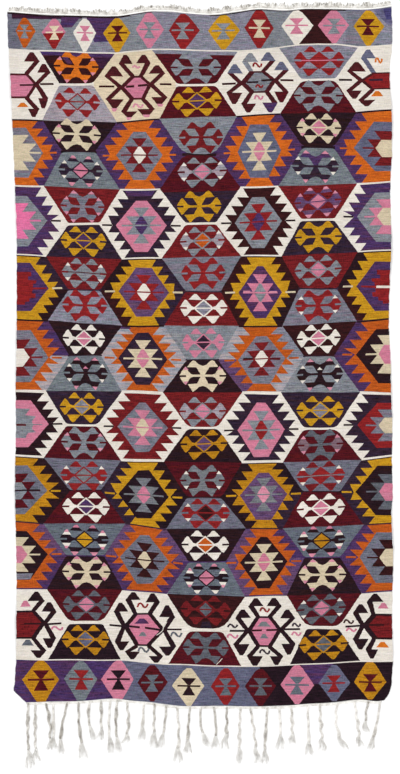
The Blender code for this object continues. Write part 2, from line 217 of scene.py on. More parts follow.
# Trapezoids, row by row and column by column, the upper one before the lower: ground, figure, its
# centre, its width as a share of the usual one, how much further it leans than its row line, yarn,
# heart yarn, and the yarns that end its upper triangles, its side diamonds and its feet
TRAPEZOIDS = (
    # row 1
    ("brown", "cross", 76.3, 66.3, 1.0, 0, "amber", "", "", "rose", "rose"),
    ("lilac", "rhomb", 77.4, 101.5, 1.02, 0.04, "red", "grey"),
    ("maroon", "cross", 195.8, 67.4, 1.13, -0.02, "grey"),
    ("maroon", "rhomb", 197.1, 100.7, 1.11, 0, "mustard", "purple"),
    ("lavender", "solid", 319.3, 60.1, 1.13, 0, "red", "pink"),
    ("maroon", "cross", 318.5, 95.3, 1.1, 0.02, "grey"),
    # row 2
    ("black", "cross", 76.8, 134.0, 1.08, 0.04, "cream", "", "", "rose"),
    ("teal", "rhomb", 80.8, 170.2, 1.0, 0.01, "navy", "pink", "rose", "white", "rose"),
    ("grey", "cross", 201.2, 137.2, 1.0, 0, "crimson"),
    ("maroon", "rhomb", 202.2, 171.3, 1.1, -0.03, "grey", "pink", "", "white"),
    ("black", "rhomb", 318.9, 127.6, 1.0, 0.02, "cream", "pink", "", "rose"),
    ("teal", "cross", 315.6, 166.0, 1.06, 0.03, "navy", "", "rose", "white", "rose"),
    # row 3
    ("crimson", "cross", 82.6, 206.2, 0.98, 0.02, "slate", "", "rose", "rose", "rose"),
    ("navy", "rhomb", 83.6, 240.6, 1.03, 0.03, "mustard", "purple"),
    ("navy", "cross", 199.4, 205.9, 1.0, 0, "mustard"),
    ("crimson", "rhomb", 202.4, 240.5, 1.0, -0.03, "grey", "orange", "", "white"),
    ("crimson", "rhomb", 317.9, 201.2, 1.06, -0.06, "mauve", "pink", "rose", "rose", "rose"),
    ("navy", "cross", 318.3, 236.5, 1.05, 0, "mustard"),
    # row 4
    ("crimson", "solid", 84.3, 272.6, 1.0, 0.03, "grey", "maroon", "", "white"),
    ("lavender", "cross", 85.0, 305.0, 1.02, -0.02, "red"),
    ("slate", "cross", 203.4, 272.8, 1.0, -0.02, "red"),
    ("crimson", "rhomb", 203.7, 307.8, 1.06, 0, "white", "lavender"),
    ("crimson", "rhomb", 318.1, 269.4, 1.05, -0.04, "grey", "pink"),
    ("slate", "cross", 318.2, 305.0, 1.04, 0, "red", "", "", "white"),
    # row 5
    ("black", "rhomb", 84.0, 338.2, 0.94, 0, "white", "pink"),
    ("teal", "cross", 85.8, 372.9, 1.0, 0.03, "black", "pink", "rose", "white", "rose"),
    ("grey", "rhomb", 203.4, 342.1, 0.95, 0, "pink", "navy"),
    ("black", "cross", 202.8, 375.6, 1.04, -0.01, "ivory", "", "", "rose"),
    ("brown", "rhomb", 318.5, 338.1, 0.98, 0, "white", "pink"),
    ("grey", "cross", 319.9, 374.0, 1.05, -0.04, "black", "white", "rose", "white", "rose"),
    # row 6
    ("navy", "rhomb", 81.9, 406.6, 0.98, 0, "mustard", "lavender"),
    ("maroon", "cross", 83.8, 442.0, 1.0, 0, "grey", "", "", "rose"),
    ("crimson", "rhomb", 202.6, 410.9, 1.04, -0.02, "grey", "pink"),
    ("black", "rhomb", 204.0, 443.5, 1.05, -0.03, "gold", "mauve"),
    ("navy", "rhomb", 320.2, 409.9, 1.06, -0.03, "mustard", "slate"),
    ("maroon", "cross", 320.4, 444.3, 1.02, -0.02, "steel", "", "", "rose"),
    # row 7
    ("dusk", "rhomb", 84.0, 475.0, 1.06, 0, "red", "stone", "", "white"),
    ("maroon", "rhomb", 86.2, 506.3, 1.06, 0.01, "white", "purple"),
    ("maroon", "cross", 202.6, 480.1, 1.0, 0, "stone", "", "", "white"),
    ("dusk", "rhomb", 205.8, 512.6, 1.09, 0, "red", "brown", "", "white"),
    ("dusk", "solid", 320.8, 475.4, 1.09, -0.03, "red", "stone", "", "white"),
    ("maroon", "rhomb", 321.0, 507.9, 1.08, -0.045, "white", "pink"),
    # row 8
    ("sea", "rhomb", 84.6, 539.2, 1.1, 0.02, "night", "mustard", "pink", "white", "rose"),
    ("black", "cross", 86.6, 571.5, 1.08, 0.02, "cream", "", "pink", "rose", "rose"),
    ("black", "rhomb", 205.4, 544.4, 1.06, 0, "white", "orange"),
    ("sea", "rhomb", 206.4, 577.6, 1.02, 0, "night", "pink", "rose", "white", "white"),
    ("sea", "rhomb", 321.5, 540.2, 1.08, -0.03, "black", "gold", "pink", "white", "rose"),
    ("black", "cross", 322.4, 574.3, 1.06, 0.02, "cream", "", "rose", "rose", "rose"),
    # row 9
    ("maroon", "rhomb", 86.5, 604.2, 1.06, 0.03, "steel", "pink"),
    ("night", "rhomb", 85.6, 639.1, 1.06, 0, "gold", "blue"),
    ("brown", "small", 205.7, 609.4, 1.13, 0.03, "crimson", "steel"),
    ("maroon", "cross", 205.8, 647.3, 1.03, -0.01, "steel"),
    ("maroon", "rhomb", 321.6, 608.2, 1.09, -0.05, "steel", "pink", "", "white"),
    ("night", "rhomb", 323.6, 643.8, 1.09, -0.02, "gold", "steel"),
)
TRAPEZOID_PLACES = tuple(product(range(1, 10), range(1, 4), ("upper", "lower")))

# Trapezoids whose side diamonds end in white and then pink
STRIPED = ((8, 1, "upper"), (8, 2, "lower"), (8, 3, "upper"))

# Crosses with the upper half in another yarn
UPPER_HALVES = {(2, 3, "lower"): "purple"}

# Figures whose side diamonds, or whose upper triangles and feet, are in another dye
SIDE_YARNS = {
    (2, 2, "lower"): "lilac", (3, 2, "lower"): "lilac", (6, 2, "upper"): "lilac",
    (6, 3, "lower"): "heather",
}
TRIANGLE_YARNS = {(7, 3, "upper"): "crimson"}

# How far the corners at the waist are rounded, where it differs from ROUND
ROUND = 2.0
ROUNDED = {
    (1, 1, "upper"): 3.5, (1, 2, "upper"): 3.5, (1, 2, "lower"): 3.0, (1, 3, "lower"): 5.0,
    (2, 1, "upper"): 3.5, (2, 2, "upper"): 10.0, (2, 3, "upper"): 5.5, (2, 2, "lower"): 7.0,
    (2, 3, "lower"): 3.5, (6, 1, "upper"): 3.5, (6, 2, "upper"): 5.0, (6, 3, "upper"): 3.5,
    (6, 2, "lower"): 4.5, (6, 3, "lower"): 5.0, (7, 2, "upper"): 4.5, (9, 1, "upper"): 6.0,
    (9, 2, "upper"): 10.0, (9, 3, "upper"): 7.0, (9, 2, "lower"): 3.5,
}
ROUND_STEPS = (0.0, 0.33, 0.67, 1.0)

# Parts of a trapezoid in another dye: row, column, upper or lower, left and right end as shares of
# the width, start and end as shares of the way from the row line to the waist, yarn
TINTS = (
    (1, 1, "upper", 0.00, 1.00, 0.00, 0.14, "purple"),
    (1, 1, "upper", 0.70, 1.00, 0.14, 0.50, "aubergine"),
    (1, 1, "upper", 0.00, 0.15, 0.38, 1.00, "black"),
    (1, 2, "upper", 0.00, 1.00, 0.00, 0.13, "lavender"),
    (3, 2, "upper", 0.00, 1.00, 0.00, 0.10, "maroon"),
)

# Saw-toothed rings of rows 2 to 8: share of the height of the first and last tooth, gap to the
# trapezoid, depth of a tooth, ring width beside the inner hexagon, and the yarn of the bar that
# leaves it
RINGS = {
    2: (0.01, 0.77, 4.6, 6.4, 6.0, "tangerine"),
    3: (0.03, 0.76, 3.2, 5.8, 3.2, "black"),
    4: (0.00, 0.76, 5.0, 5.2, 4.5, "cream"),
    5: (0.03, 0.77, 4.8, 7.2, 0.9, "orange"),
    6: (0.06, 0.77, 3.0, 6.8, 3.4, "black"),
    7: (0.00, 0.76, 4.8, 6.4, 1.6, "mustard"),
    8: (0.02, 0.77, 4.0, 7.2, 1.2, "orange"),
}
RING_TEETH = 4             # on each slanted side
RING_BAR = (3.6, 13.6, 1.8)          # where a bar starts and ends past the inner hexagon, and
                                     # its thickness

# Hexagons of rows 2 to 8, each row from column 0 to 3. Columns 0 and 3 are cut by the rug's edges.
# Ring, the yarn around it or the four of its upper left, upper right, lower left and lower right,
# inner hexagon, figure, heart, middle, half width, height at the sides, top, bottom, half widths
# of top and bottom, and how much further it leans than its zone
HEXAGONS = (
    # row 2
    ("tangerine", "purple", "slate", "cream", "", 20.9, 22.1, 152.4, 127.7, 177.3, 5.0, 7.4, 0),
    ("tangerine", "purple",
     "slate", "crimson", "white", 139.6, 23.2, 155.0, 132.0, 179.6, 6.0, 6.0, -0.045),
    ("tangerine", "purple", "blue", "cream", "pink", 259.3, 21.8, 151.2, 124.5, 177.4, 9.0, 9.0, 0.03),
    ("tangerine", "purple", "blue", "crimson", "cream", 382.4, 28.7, 148.0, 121.9, 170.7, 8.6, 7.4, 0),
    # row 3
    ("purple", "white", "grey", "fuchsia", "", 21.0, 26.3, 220.6, 195.6, 246.4, 6.0, 7.0, 0),
    ("navy", "white", "pink", "grey", "purple", 141.4, 25.5, 225.2, 200.4, 251.9, 5.5, 6.5, 0.01),
    ("brown", "white", "grey", "red", "purple", 258.3, 23.5, 221.6, 196.8, 248.0, 6.0, 6.0, 0),
    ("purple", "white", "grey", "pink", "cream", 384.0, 27.1, 216.4, 192.3, 241.8, 9.3, 8.0, 0),
    # row 4
    ("mustard", ("navy", "navy", "black", "black"),
     "purple", "steps", "", 22.6, 26.1, 288.0, 262.8, 310.5, 7.8, 8.2, 0),
    ("mustard", ("black", "navy", "brown", "navy"),
     "mauve", "red", "white", 143.9, 25.2, 291.8, 267.7, 316.1, 7.8, 7.4, 0),
    ("mustard", ("brown", "brown", "brown", "black"),
     "purple", "pink", "grey", 260.3, 21.7, 292.3, 266.0, 317.8, 3.0, 5.6, 0.03),
    ("mustard", ("black", "black", "brown", "brown"),
     "purple", "steps", "white", 385.4, 29.0, 286.4, 261.4, 310.5, 10.2, 10.7, 0),
    # row 5
    ("orange", ("purple", "purple", "haze", "haze"),
     "slate", "crimson", "white", 22.6, 25.8, 357.3, 329.8, 382.0, 8.2, 7.8, 0),
    ("orange", "haze", "navy", "cream", "pink", 142.9, 24.6, 358.4, 332.4, 384.8, 5.6, 6.7, -0.02),
    ("orange", ("haze", "lavender", "mauve", "haze"),
     "slate", "crimson", "white", 261.6, 23.7, 358.8, 336.1, 383.6, 5.4, 8.3, 0),
    ("orange", "purple", "black", "cream", "pink", 385.4, 29.4, 354.1, 328.9, 383.0, 9.4, 7.1, 0),
    # row 6
    ("black", "white", "pink", "slats", "", 22.6, 26.3, 423.8, 400.1, 446.7, 8.2, 5.8, 0),
    ("crimson", "white", "slate", "pink", "cream", 142.6, 25.2, 427.0, 402.3, 451.5, 3.0, 6.3, 0),
    ("navy", "white", "pink", "grey", "red", 261.3, 23.6, 429.7, 402.3, 456.7, 4.3, 7.2, -0.03),
    ("navy", "white", "red", "slate", "cream", 385.4, 28.2, 424.9, 402.4, 447.6, 8.0, 8.4, 0),
    # row 7
    ("gold", "black", "dusk", "maroon", "grey", 20.6, 26.7, 490.4, 465.0, 514.0, 7.1, 4.0, 0),
    ("mustard", ("navy", "black", "navy", "night"),
     "night", "stone", "pink", 143.7, 25.2, 494.8, 470.0, 518.1, 5.4, 7.2, -0.02),
    ("gold", ("black", "night", "black", "navy"),
     "mauve", "stone", "rose", 263.6, 23.6, 494.3, 472.7, 519.5, 4.9, 7.6, 0.04),
    ("mustard", "navy", "black", "steel", "pink", 386.0, 30.5, 491.5, 465.5, 514.9, 8.6, 10.4, 0),
    # row 8
    ("orange", ("purple", "mauve", "purple", "purple"),
     "black", "cream", "pink", 20.6, 27.4, 554.0, 530.8, 579.2, 6.2, 9.8, 0),
    ("orange", ("mauve", "mauve", "purple", "purple"),
     "dusk", "brown", "cream", 144.6, 24.8, 559.5, 534.8, 583.3, 4.5, 7.2, 0.03),
    ("orange", ("mauve", "purple", "mauve", "mauve"),
     "black", "cream", "pink", 263.9, 23.8, 561.8, 536.4, 588.2, 3.2, 5.8, 0.03),
    ("orange", "purple", "dusk", "brown", "cream", 386.4, 26.9, 557.0, 531.8, 582.7, 9.9, 10.4, 0),
)
HEXAGON_PLACES = tuple(product(range(2, 9), range(4)))

# Hooked hexagons of rows 1 and 9, by the outside of their thick rims: ground, core, rim, left and
# right corner, top and its two corners, bottom and its two corners, and how far the core lies
# within the left and right corner and within the top and bottom
HOOKED = {
    (1, 0): ("white", "pink", "umber",
             0.0, 84.3, 37.9, 84.3, 73.2, 0.0, 28.2, 98.2, 0.0, 28.6, 3.6, 3.6, 2.0),
    (1, 1): ("ivory", "pink", "umber",
             119.2, 87.1, 152.2, 84.3, 75.4, 131.0, 142.2, 99.5, 130.3, 144.8, 5.4, 4.2, 2.0),
    (1, 2): ("white", "grey", "umber",
             239.6, 82.9, 277.0, 80.5, 70.7, 249.6, 265.1, 92.8, 250.1, 268.6, 6.4, 5.2, 1.7),
    (1, 3): ("white", "red", "umber",
             359.6, 80.0, 400.0, 78.0, 72.2, 372.4, 400.0, 89.4, 371.0, 400.0, 4.4, 4.4, 1.5),
    (9, 0): ("white", "crimson", "black",
             0.0, 623.4, 46.3, 622.6, 610.2, 0.0, 35.2, 638.6, 0.0, 35.2, 4.8, 4.8, 2.0),
    (9, 1): ("white", "pink", "black",
             123.2, 625.6, 165.4, 629.2, 612.8, 134.0, 151.6, 645.8, 135.0, 150.4, 5.2, 5.0, 1.8),
    (9, 2): ("white", "pink", "black",
             246.4, 630.4, 282.4, 629.2, 616.0, 256.4, 271.6, 646.6, 256.4, 271.6, 4.8, 4.6, 1.9),
    (9, 3): ("white", "crimson", "black",
             361.8, 625.2, 400.0, 624.0, 613.6, 372.0, 400.0, 639.0, 372.4, 400.0, 6.4, 6.4, 2.0),
}

# Their hooks, on the left side from top to bottom and then on the right: tip of the head and outer
# end of its base. The head is even about its tip. Only one side of columns 0 and 3 shows
HOOKS = {
    (1, 0): ((31.8, 51.8, 39.8, 61.2), (43.9, 63.8, 50.6, 72.6), (43.4, 108.4, 48.4, 98.2),
             (33.8, 117.2, 39.6, 108.8)),
    (1, 1): ((125.6, 54.8, 118.5, 63.8), (114.0, 66.4, 104.4, 76.4), (114.8, 108.2, 105.6, 98.9),
             (129.4, 117.4, 121.0, 111.2), (143.6, 54.4, 151.0, 62.9), (157.0, 65.2, 165.6, 73.6),
             (159.4, 105.2, 167.6, 97.1), (146.2, 117.0, 155.0, 109.0)),
    (1, 2): ((250.2, 52.8, 242.2, 61.6), (234.9, 64.2, 227.2, 73.3), (234.2, 103.8, 226.0, 92.4),
             (248.6, 112.4, 241.0, 103.4), (268.0, 52.0, 275.4, 60.6), (281.4, 61.8, 288.8, 70.2),
             (281.4, 102.2, 288.8, 91.6), (270.2, 112.4, 278.0, 102.6)),
    (1, 3): ((368.4, 49.2, 360.8, 57.9), (356.6, 61.8, 347.0, 71.2), (354.2, 98.4, 346.4, 90.1),
             (366.8, 106.2, 358.2, 99.8)),
    (9, 0): ((36.3, 591.4, 44.8, 600.9), (49.3, 602.0, 56.8, 611.4), (49.6, 647.4, 56.4, 637.6),
             (38.6, 657.4, 46.4, 649.8)),
    (9, 1): ((133.2, 591.6, 125.7, 599.5), (120.9, 602.2, 113.6, 611.1),
             (121.9, 650.0, 114.6, 641.1), (132.4, 659.2, 125.0, 651.4),
             (152.7, 593.2, 160.1, 602.2), (167.2, 604.9, 175.2, 616.7),
             (167.7, 655.2, 176.4, 646.0), (156.0, 662.2, 163.4, 655.4)),
    (9, 2): ((255.9, 597.8, 248.2, 606.0), (243.0, 609.0, 235.0, 617.6),
             (241.4, 655.2, 233.2, 643.9), (254.8, 666.0, 246.8, 655.7),
             (274.2, 597.8, 281.8, 606.0), (287.6, 609.0, 295.3, 617.8),
             (288.6, 654.4, 295.8, 643.3), (276.6, 664.6, 283.5, 655.6)),
    (9, 3): ((375.1, 593.4, 366.8, 601.7), (360.5, 603.8, 352.6, 612.8),
             (360.6, 649.4, 352.8, 638.7), (371.8, 658.2, 365.6, 649.0)),
}

# Yarns of head and arm where they aren't the rim's: row, column, hook
HOOK_YARNS = {
    (1, 2, 0): ("grey", "grey"), (1, 2, 1): ("blue", "umber"), (1, 2, 4): ("blue", "umber"),
    (1, 2, 5): ("blue", "umber"), (1, 2, 6): ("maroon", "umber"), (1, 2, 7): ("purple", "umber"),
    (1, 3, 0): ("blue", "blue"),
}
HOOK_ARM = 4.1
HOOK_INTO = 2.4            # how far an arm runs in under its hexagon's rim
HOOK_TIP = (1.6, 0.22)     # half width of the blunt tip, and where the head narrows to it
HOOK_CURVE = 1.15          # the head is this much wider there than with straight sides
ARM_ENDS = (0.3, 0.7, 1.45)          # how far an arm reaches to each side of its root, and its
                                     # width at the head, as shares of HOOK_ARM

BAR_SPREAD = 0.3           # what a bar's beaten-in weft adds to its thickness

# Small bars: left end, right end, height there and here, thickness, yarn
BARS = (
    (-9.0, 25.9, 424.6, 424.6, 1.6, "maroon"), (-9.0, 39.7, 490.2, 490.0, 1.3, "black"),
    (243.4, 250.5, 291.6, 291.5, 1.5, "rose"), (269.4, 277.0, 291.6, 291.6, 1.5, "rose"),
    (243.4, 253.2, 358.4, 358.5, 1.5, "brown"), (269.8, 280.0, 358.8, 358.9, 1.5, "maroon"),
    (19.6, 35.2, 84.8, 84.8, 1.5, "brown"), (40.4, 53.6, 84.2, 84.0, 1.7, "brown"),
    (99.1, 114.4, 86.6, 86.4, 1.7, "brown"), (159.6, 171.5, 84.3, 84.3, 1.7, "brown"),
    (126.2, 134.4, 86.4, 85.8, 1.9, "brown"), (138.1, 147.8, 85.4, 84.7, 1.9, "brown"),
    (222.2, 236.2, 84.2, 83.2, 1.7, "brown"), (280.5, 293.5, 80.2, 80.1, 1.7, "brown"),
    (247.0, 258.0, 82.0, 81.7, 1.7, "black"), (261.2, 273.6, 80.3, 80.0, 1.7, "black"),
    (369.4, 383.0, 79.6, 79.6, 1.7, "navy"), (339.0, 352.0, 79.9, 79.7, 1.7, "black"),
    (24.0, 43.0, 623.6, 623.4, 1.1, "black"), (46.6, 61.8, 623.8, 622.7, 1.7, "black"),
    (109.6, 124.4, 624.4, 625.8, 1.7, "black"), (128.2, 140.1, 625.8, 627.3, 1.7, "black"),
    (145.1, 160.6, 627.6, 629.6, 1.8, "black"), (166.6, 181.8, 628.8, 629.1, 1.5, "black"),
    (230.0, 247.0, 630.3, 630.7, 1.7, "black"), (251.4, 262.0, 630.4, 630.1, 1.6, "brown"),
    (266.4, 278.2, 629.8, 629.3, 1.6, "brown"), (283.2, 299.8, 628.7, 628.7, 1.7, "black"),
    (345.3, 363.0, 626.1, 625.3, 1.7, "black"), (368.0, 383.7, 624.9, 624.7, 1.5, "brown"),
)

# Small triangles in the hooked rows: apex, half width, height below the apex, yarn
SMALL_TRIANGLES = (
    (22.9, 102.6, 5.9, 4.4, "amber"), (377.0, 91.0, 6.2, 5.4, "amber"),
    (25.6, 600.2, 5.3, 6.2, "pink"), (27.7, 639.4, 6.1, 5.9, "steel"),
    (141.9, 618.4, 7.6, 5.2, "purple"), (142.8, 631.8, 4.2, 4.3, "stone"),
    (264.0, 621.4, 6.9, 5.0, "stone"), (264.1, 633.6, 4.3, 4.5, "stone"),
    (383.3, 602.7, 5.5, 5.7, "pink"), (382.6, 641.4, 6.4, 5.5, "amber"),
)
DOME = 0.30                # half width of a small triangle's blunt top, as a share of its base

# Little S figures: left, right, top, bottom, yarn
S_FIGURES = (
    (252.9, 261.8, 62.3, 66.8, "red"), (255.7, 262.9, 84.4, 87.6, "red"),
    (254.6, 262.9, 95.1, 99.6, "pink"), (375.1, 382.3, 57.3, 62.9, "amber"),
    (132.8, 139.8, 65.2, 67.8, "rose"), (133.2, 143.0, 103.6, 107.8, "rose"),
    (51.5, 63.1, 625.8, 629.4, "pink"), (137.4, 148.0, 602.6, 607.6, "red"),
    (170.8, 182.0, 631.6, 636.4, "steel"), (138.1, 148.9, 647.0, 651.8, "steel"),
    (259.8, 269.4, 607.4, 611.8, "red"), (227.7, 237.6, 623.5, 627.1, "navy"),
    (227.0, 238.2, 633.6, 637.8, "pink"), (259.8, 270.3, 649.0, 653.5, "navy"),
    (292.3, 300.6, 622.6, 626.4, "navy"), (291.7, 300.8, 631.5, 635.3, "pink"),
    (343.8, 353.9, 619.0, 623.1, "brown"), (346.1, 356.3, 627.6, 631.1, "pink"),
)

# Loose threads, as points from end to end: over the hexagon of row 9, column 1, and right of it
THREAD = ((166.9, 621.6), (163.4, 627.2), (162.2, 630.6), (156.8, 634.8))
SHORT_THREAD = ((216.4, 664.0), (222.4, 658.0))
THREAD_WIDE = 0.7

# Diamonds of the two end bands: left, middle, right, top, middle height, bottom, yarn, figure
DIAMONDS = (
    (15.6, 24.5, 35.9, 17.9, 30.8, 47.5, "orange", "grey"),
    (41.9, 54.4, 65.6, 18.5, 32.0, 48.8, "pink", "ivory"),
    (72.9, 85.0, 96.3, 18.8, 32.6, 51.3, "white", "pink"),
    (103.0, 117.5, 130.6, 18.0, 32.9, 52.5, "mustard", "maroon"),
    (135.9, 149.4, 164.0, 12.5, 29.2, 47.5, "pink", "grey"),
    (168.8, 182.8, 200.0, 13.8, 30.2, 49.4, "red", "grey"),
    (207.8, 223.4, 240.3, 14.4, 30.4, 49.4, "mustard", "grey"),
    (244.4, 259.4, 273.8, 9.4, 27.8, 47.8, "red", "cream"),
    (281.3, 296.6, 313.5, 10.3, 25.4, 44.8, "white", "pink"),
    (317.9, 334.1, 349.0, 9.8, 25.2, 43.0, "pink", "grey"),
    (353.5, 368.0, 384.4, 10.6, 26.3, 45.6, "mustard", "maroon"),
    (22.3, 41.1, 59.1, 659.8, 679.2, 704.5, "gold", "maroon"),
    (64.1, 81.3, 97.3, 660.8, 678.6, 703.0, "teal", "red"),
    (100.9, 118.5, 133.9, 660.2, 679.0, 702.5, "pink", "night"),
    (137.6, 152.1, 168.0, 664.5, 682.0, 701.1, "maroon", "sea"),
    (172.0, 188.9, 204.3, 668.0, 685.6, 705.3, "cream", "black"),
    (210.8, 225.8, 239.8, 668.0, 686.0, 704.7, "red", "sea"),
    (244.7, 260.6, 276.0, 668.5, 685.5, 705.6, "maroon", "steel"),
    (280.5, 297.0, 314.2, 665.0, 684.6, 703.6, "pink", "sea"),
    (318.9, 333.9, 350.2, 664.5, 682.8, 701.1, "blue", "red"),
    (353.9, 370.3, 386.3, 660.8, 681.6, 698.9, "gold", "maroon"),
)

TWO_TONE = ("pink", "ivory", "red")  # the high diamond that ends in another yarn below its middle

# Grounds of the end bands and patches of another dye lot on them: left and right end of the top,
# then of the bottom, top, bottom, yarn
GROUNDS = (
    (0.0, 400.0, 0.0, 400.0, -20.0, 60.0, "lavender"), (0.0, 58.0, 0.0, 54.0, -20.0, 60.0, "dusk"),
    (24.0, 82.0, 20.0, 86.0, -20.0, 60.0, "grey"),
    (121.0, 150.0, 118.0, 148.0, -20.0, 60.0, "grey"),
    (258.0, 296.0, 262.0, 294.0, -20.0, 60.0, "grey"),
    (349.0, 368.0, 345.0, 366.0, -20.0, 60.0, "slate"),
    (299.0, 333.4, 299.0, 333.4, -20.0, 60.0, "brown"),
    (0.0, 118.0, 0.0, 118.0, 655.0, 740.0, "purple"),
    (118.0, 260.0, 118.0, 260.0, 655.0, 740.0, "blue"),
    (260.0, 400.0, 260.0, 400.0, 655.0, 740.0, "night"),
    (12.0, 84.0, 12.0, 82.0, 13.2, 18.8, "aubergine"),
    (62.0, 84.0, 60.0, 72.0, 13.2, 27.6, "purple"), (84.0, 121.0, 94.0, 108.6, 9.0, 41.6, "purple"),
    (369.0, 400.0, 387.0, 400.0, 6.0, 24.0, "indigo"),
    (382.0, 400.0, 386.4, 400.0, 5.0, 19.0, "violet"),
    (299.0, 335.0, 305.0, 330.0, 655.0, 683.4, "purple"),
)

# Such patches over the hexagons, and over the trapezoids
HEXAGON_PATCHES = (
    (121.6, 129.2, 119.6, 131.0, 325.4, 328.6, "purple"),
    (125.0, 155.0, 127.5, 152.0, 190.8, 195.8, "purple"),
    (-9.0, 33.0, -9.0, 30.6, 572.9, 578.9, "slate"),
    (110.9, 117.9, 113.0, 115.6, 107.9, 111.2, "rose"),
    (126.0, 131.8, 127.6, 130.4, 117.0, 119.8, "rose"),
    (142.9, 150.4, 144.6, 149.2, 114.6, 117.4, "rose"),
    (156.5, 163.6, 158.6, 162.2, 103.9, 106.6, "rose"),
)
FIGURE_PATCHES = (
    (183.6, 210.4, 186.6, 206.2, 49.8, 57.4, "lavender"),
    (62.0, 67.6, 67.2, 72.6, 57.2, 63.4, "purple"),
    (202.6, 209.6, 200.4, 212.0, 621.4, 627.6, "navy"),
)

# Dark first rows of weft along the high end: left and right end, thickness, yarn
EDGE_LINES = (
    (0.0, 130.0, 1.6, "black"), (130.0, 152.0, 0.8, "aubergine"), (210.0, 262.0, 1.1, "black"),
    (262.0, 300.0, 0.7, "navy"), (300.0, 346.0, 1.2, "black"), (346.0, 400.0, 0.8, "indigo"),
)
EDGE_LINE_OVER = 4.0       # how far a line's outline reaches past the sheet's end
EDGE_LINE_STEP = 5

# ---------------------------------------------------------------------------------------------
# Figures as half outlines from top to bottom, to the right of their middle, in chart units

def level(wide, half, start=0):
    """The half outline of a level bar."""
    return (start, -half), (wide, -half), (wide, half), (start, half)


CROSS_BODY = ((0, -9.6), (3.6, -11.0), (7.2, -14.6), (9.2, -15.4), (11.0, -14.4), (15.0, -8.9),
              (6.4, -8.5), (2.1, -1.4), (2.1, 1.4), (5.4, 7.9), (14.6, 8.4), (9.6, 16.2),
              (8.2, 15.4), (3.6, 11.2), (0, 10.2))
ARM = level(11.0, 1.1)
RHOMB = ((0, -9.0), (10.0, 0), (0, 9.0))
RHOMB_HEART = ((0, -7.3), (8.0, 0), (0, 7.3))
HEART_SIZES = {"rhomb": (1.0, 1.0), "small": (0.76, 0.94)}
RHOMB_BAR = level(8.2, 0.6)
SOLID_LINE = level(9.5, 0.45)
SOLID_SPREAD = (2.2, 1.0)  # the scale of that line
SMALL_HEART = ((0, -6.8), (2.6, -4.2), (0, -4.2))

# Outlines of one of a mirrored pair
SIDE_DIAMOND = ((8.4, -0.9), (11.6, -2.0), (16.2, -7.9), (17.6, -8.2), (19.0, -6.6), (22.9, -0.2),
                (18.9, 6.4), (17.4, 8.2), (15.8, 7.4), (11.4, 1.8), (8.4, 0.9))
SIDE_NOTCH = level(23.4, 0.9, 15.9)
UPPER_TRIANGLE = ((1.0, -8.2), (2.4, -9.0), (5.6, -13.1), (6.6, -14.0), (8.6, -14.0), (9.6, -13.1),
                  (13.9, -8.5))
FOOT = ((0.8, 7.9), (15.1, 8.0), (10.9, 14.4), (9.8, 15.4), (8.2, 15.4), (7.0, 14.4))
CROSS_UPPER_END = ((5.4, -12.6), (9.2, -15.9), (12.4, -12.6))
CROSS_FOOT_END = ((6.6, 13.2), (12.0, 13.2), (9.5, 16.8))
UPPER_END = ((4.4, -11.6), (10.8, -11.6), (8.8, -14.3), (6.5, -14.3))
FOOT_END = ((5.0, 12.3), (12.2, 12.3), (9.9, 15.8), (8.0, 15.8))
SIDE_UPPER_END = ((13.8, -6.2), (19.0, -6.2), (16.4, -9.6))
SIDE_LOWER_END = ((13.8, 5.6), (19.0, 5.6), (16.4, 9.0))
STRIPED_ENDS = (
    (((12.2, -4.4), (20.2, -4.4), (17.8, -8.4), (15.2, -8.4)), "white"),
    (((14.2, -7.0), (18.7, -7.0), (17.2, -9.6), (15.6, -9.6)), "rose"),
    (((12.4, 4.0), (20.2, 4.0), (17.6, 8.2), (15.0, 8.2)), "white"),
    (((14.2, 6.8), (18.5, 6.8), (17.2, 9.4), (15.6, 9.4)), "rose"),
)

# The figure of a hexagon of the usual size
HEXAGON_HALF, HEXAGON_TALL = 25.0, 48.5
HEXAGON_PARTS = (
    ((0, -17.0), (8.0, -17.0), (1.3, -8.4), (0, -8.4)),
    ((0, -8.7), (15.4, -8.7), (7.8, 0), (15.0, 8.6), (0, 8.6)),
    ((0, 8.3), (1.3, 8.3), (8.2, 17.2), (0, 17.2)),
)
HEXAGON_HEART = ((0, -8.5), (1.4, -8.3), (6.9, -0.6), (6.9, 0.6), (1.0, 8.3), (0, 8.5))
EDGE_HEART = ((0, -8.3), (1.2, -8.3), (7.0, 0), (0.6, 8.6), (0, 8.6))
HEXAGON_LINE = level(6.9, 0.65)
HEXAGON_BAR = level(19.8, 0.8, 7.0)

# Figures of another kind at the rug's edges, with their yarns and the bar that is their heart
EDGE_FIGURES = {
    "steps": (((0, -16.5), (8.4, -16.5), (8.8, -12.2), (5.4, -12.0), (5.6, -8.4), (14.0, -8.0),
               (13.6, -5.0), (10.8, -4.6), (10.6, -1.0), (24.0, -0.8), (24.0, 0.6), (10.2, 1.0),
               (9.6, 5.0), (13.4, 5.4), (12.8, 9.6), (7.2, 10.0), (6.8, 13.4), (2.8, 13.8),
               (2.4, 16.6), (0, 16.6)), "red"),
    "slats": (((0, -16.0), (7.5, -16.0), (3.0, -9.4), (13.6, -8.4), (9.4, -3.0), (10.6, -0.4),
               (20.0, -0.2), (20.0, 0.6), (10.6, 0.8), (9.4, 4.4), (13.4, 8.2), (5.4, 9.0),
               (3.2, 14.4), (0, 14.4)), "grey"),
}
EDGE_FIGURE_HEART = level(9.0, 1.2)

# The outline and figure of a diamond in the end bands, as shares of its half width and height
BAND_DIAMOND = ((0, -1.0), (0.14, -1.0), (0.34, -0.84), (1.0, 0.0), (0.13, 1.0), (0, 1.0))
BAND_FIGURE = (
    ((0, -0.42), (0.46, -0.42), (0.08, -0.05), (0, -0.05)),
    level(0.71, 0.045),
    ((0, 0.0), (0.08, 0.04), (0.41, 0.50), (0, 0.50)),
)

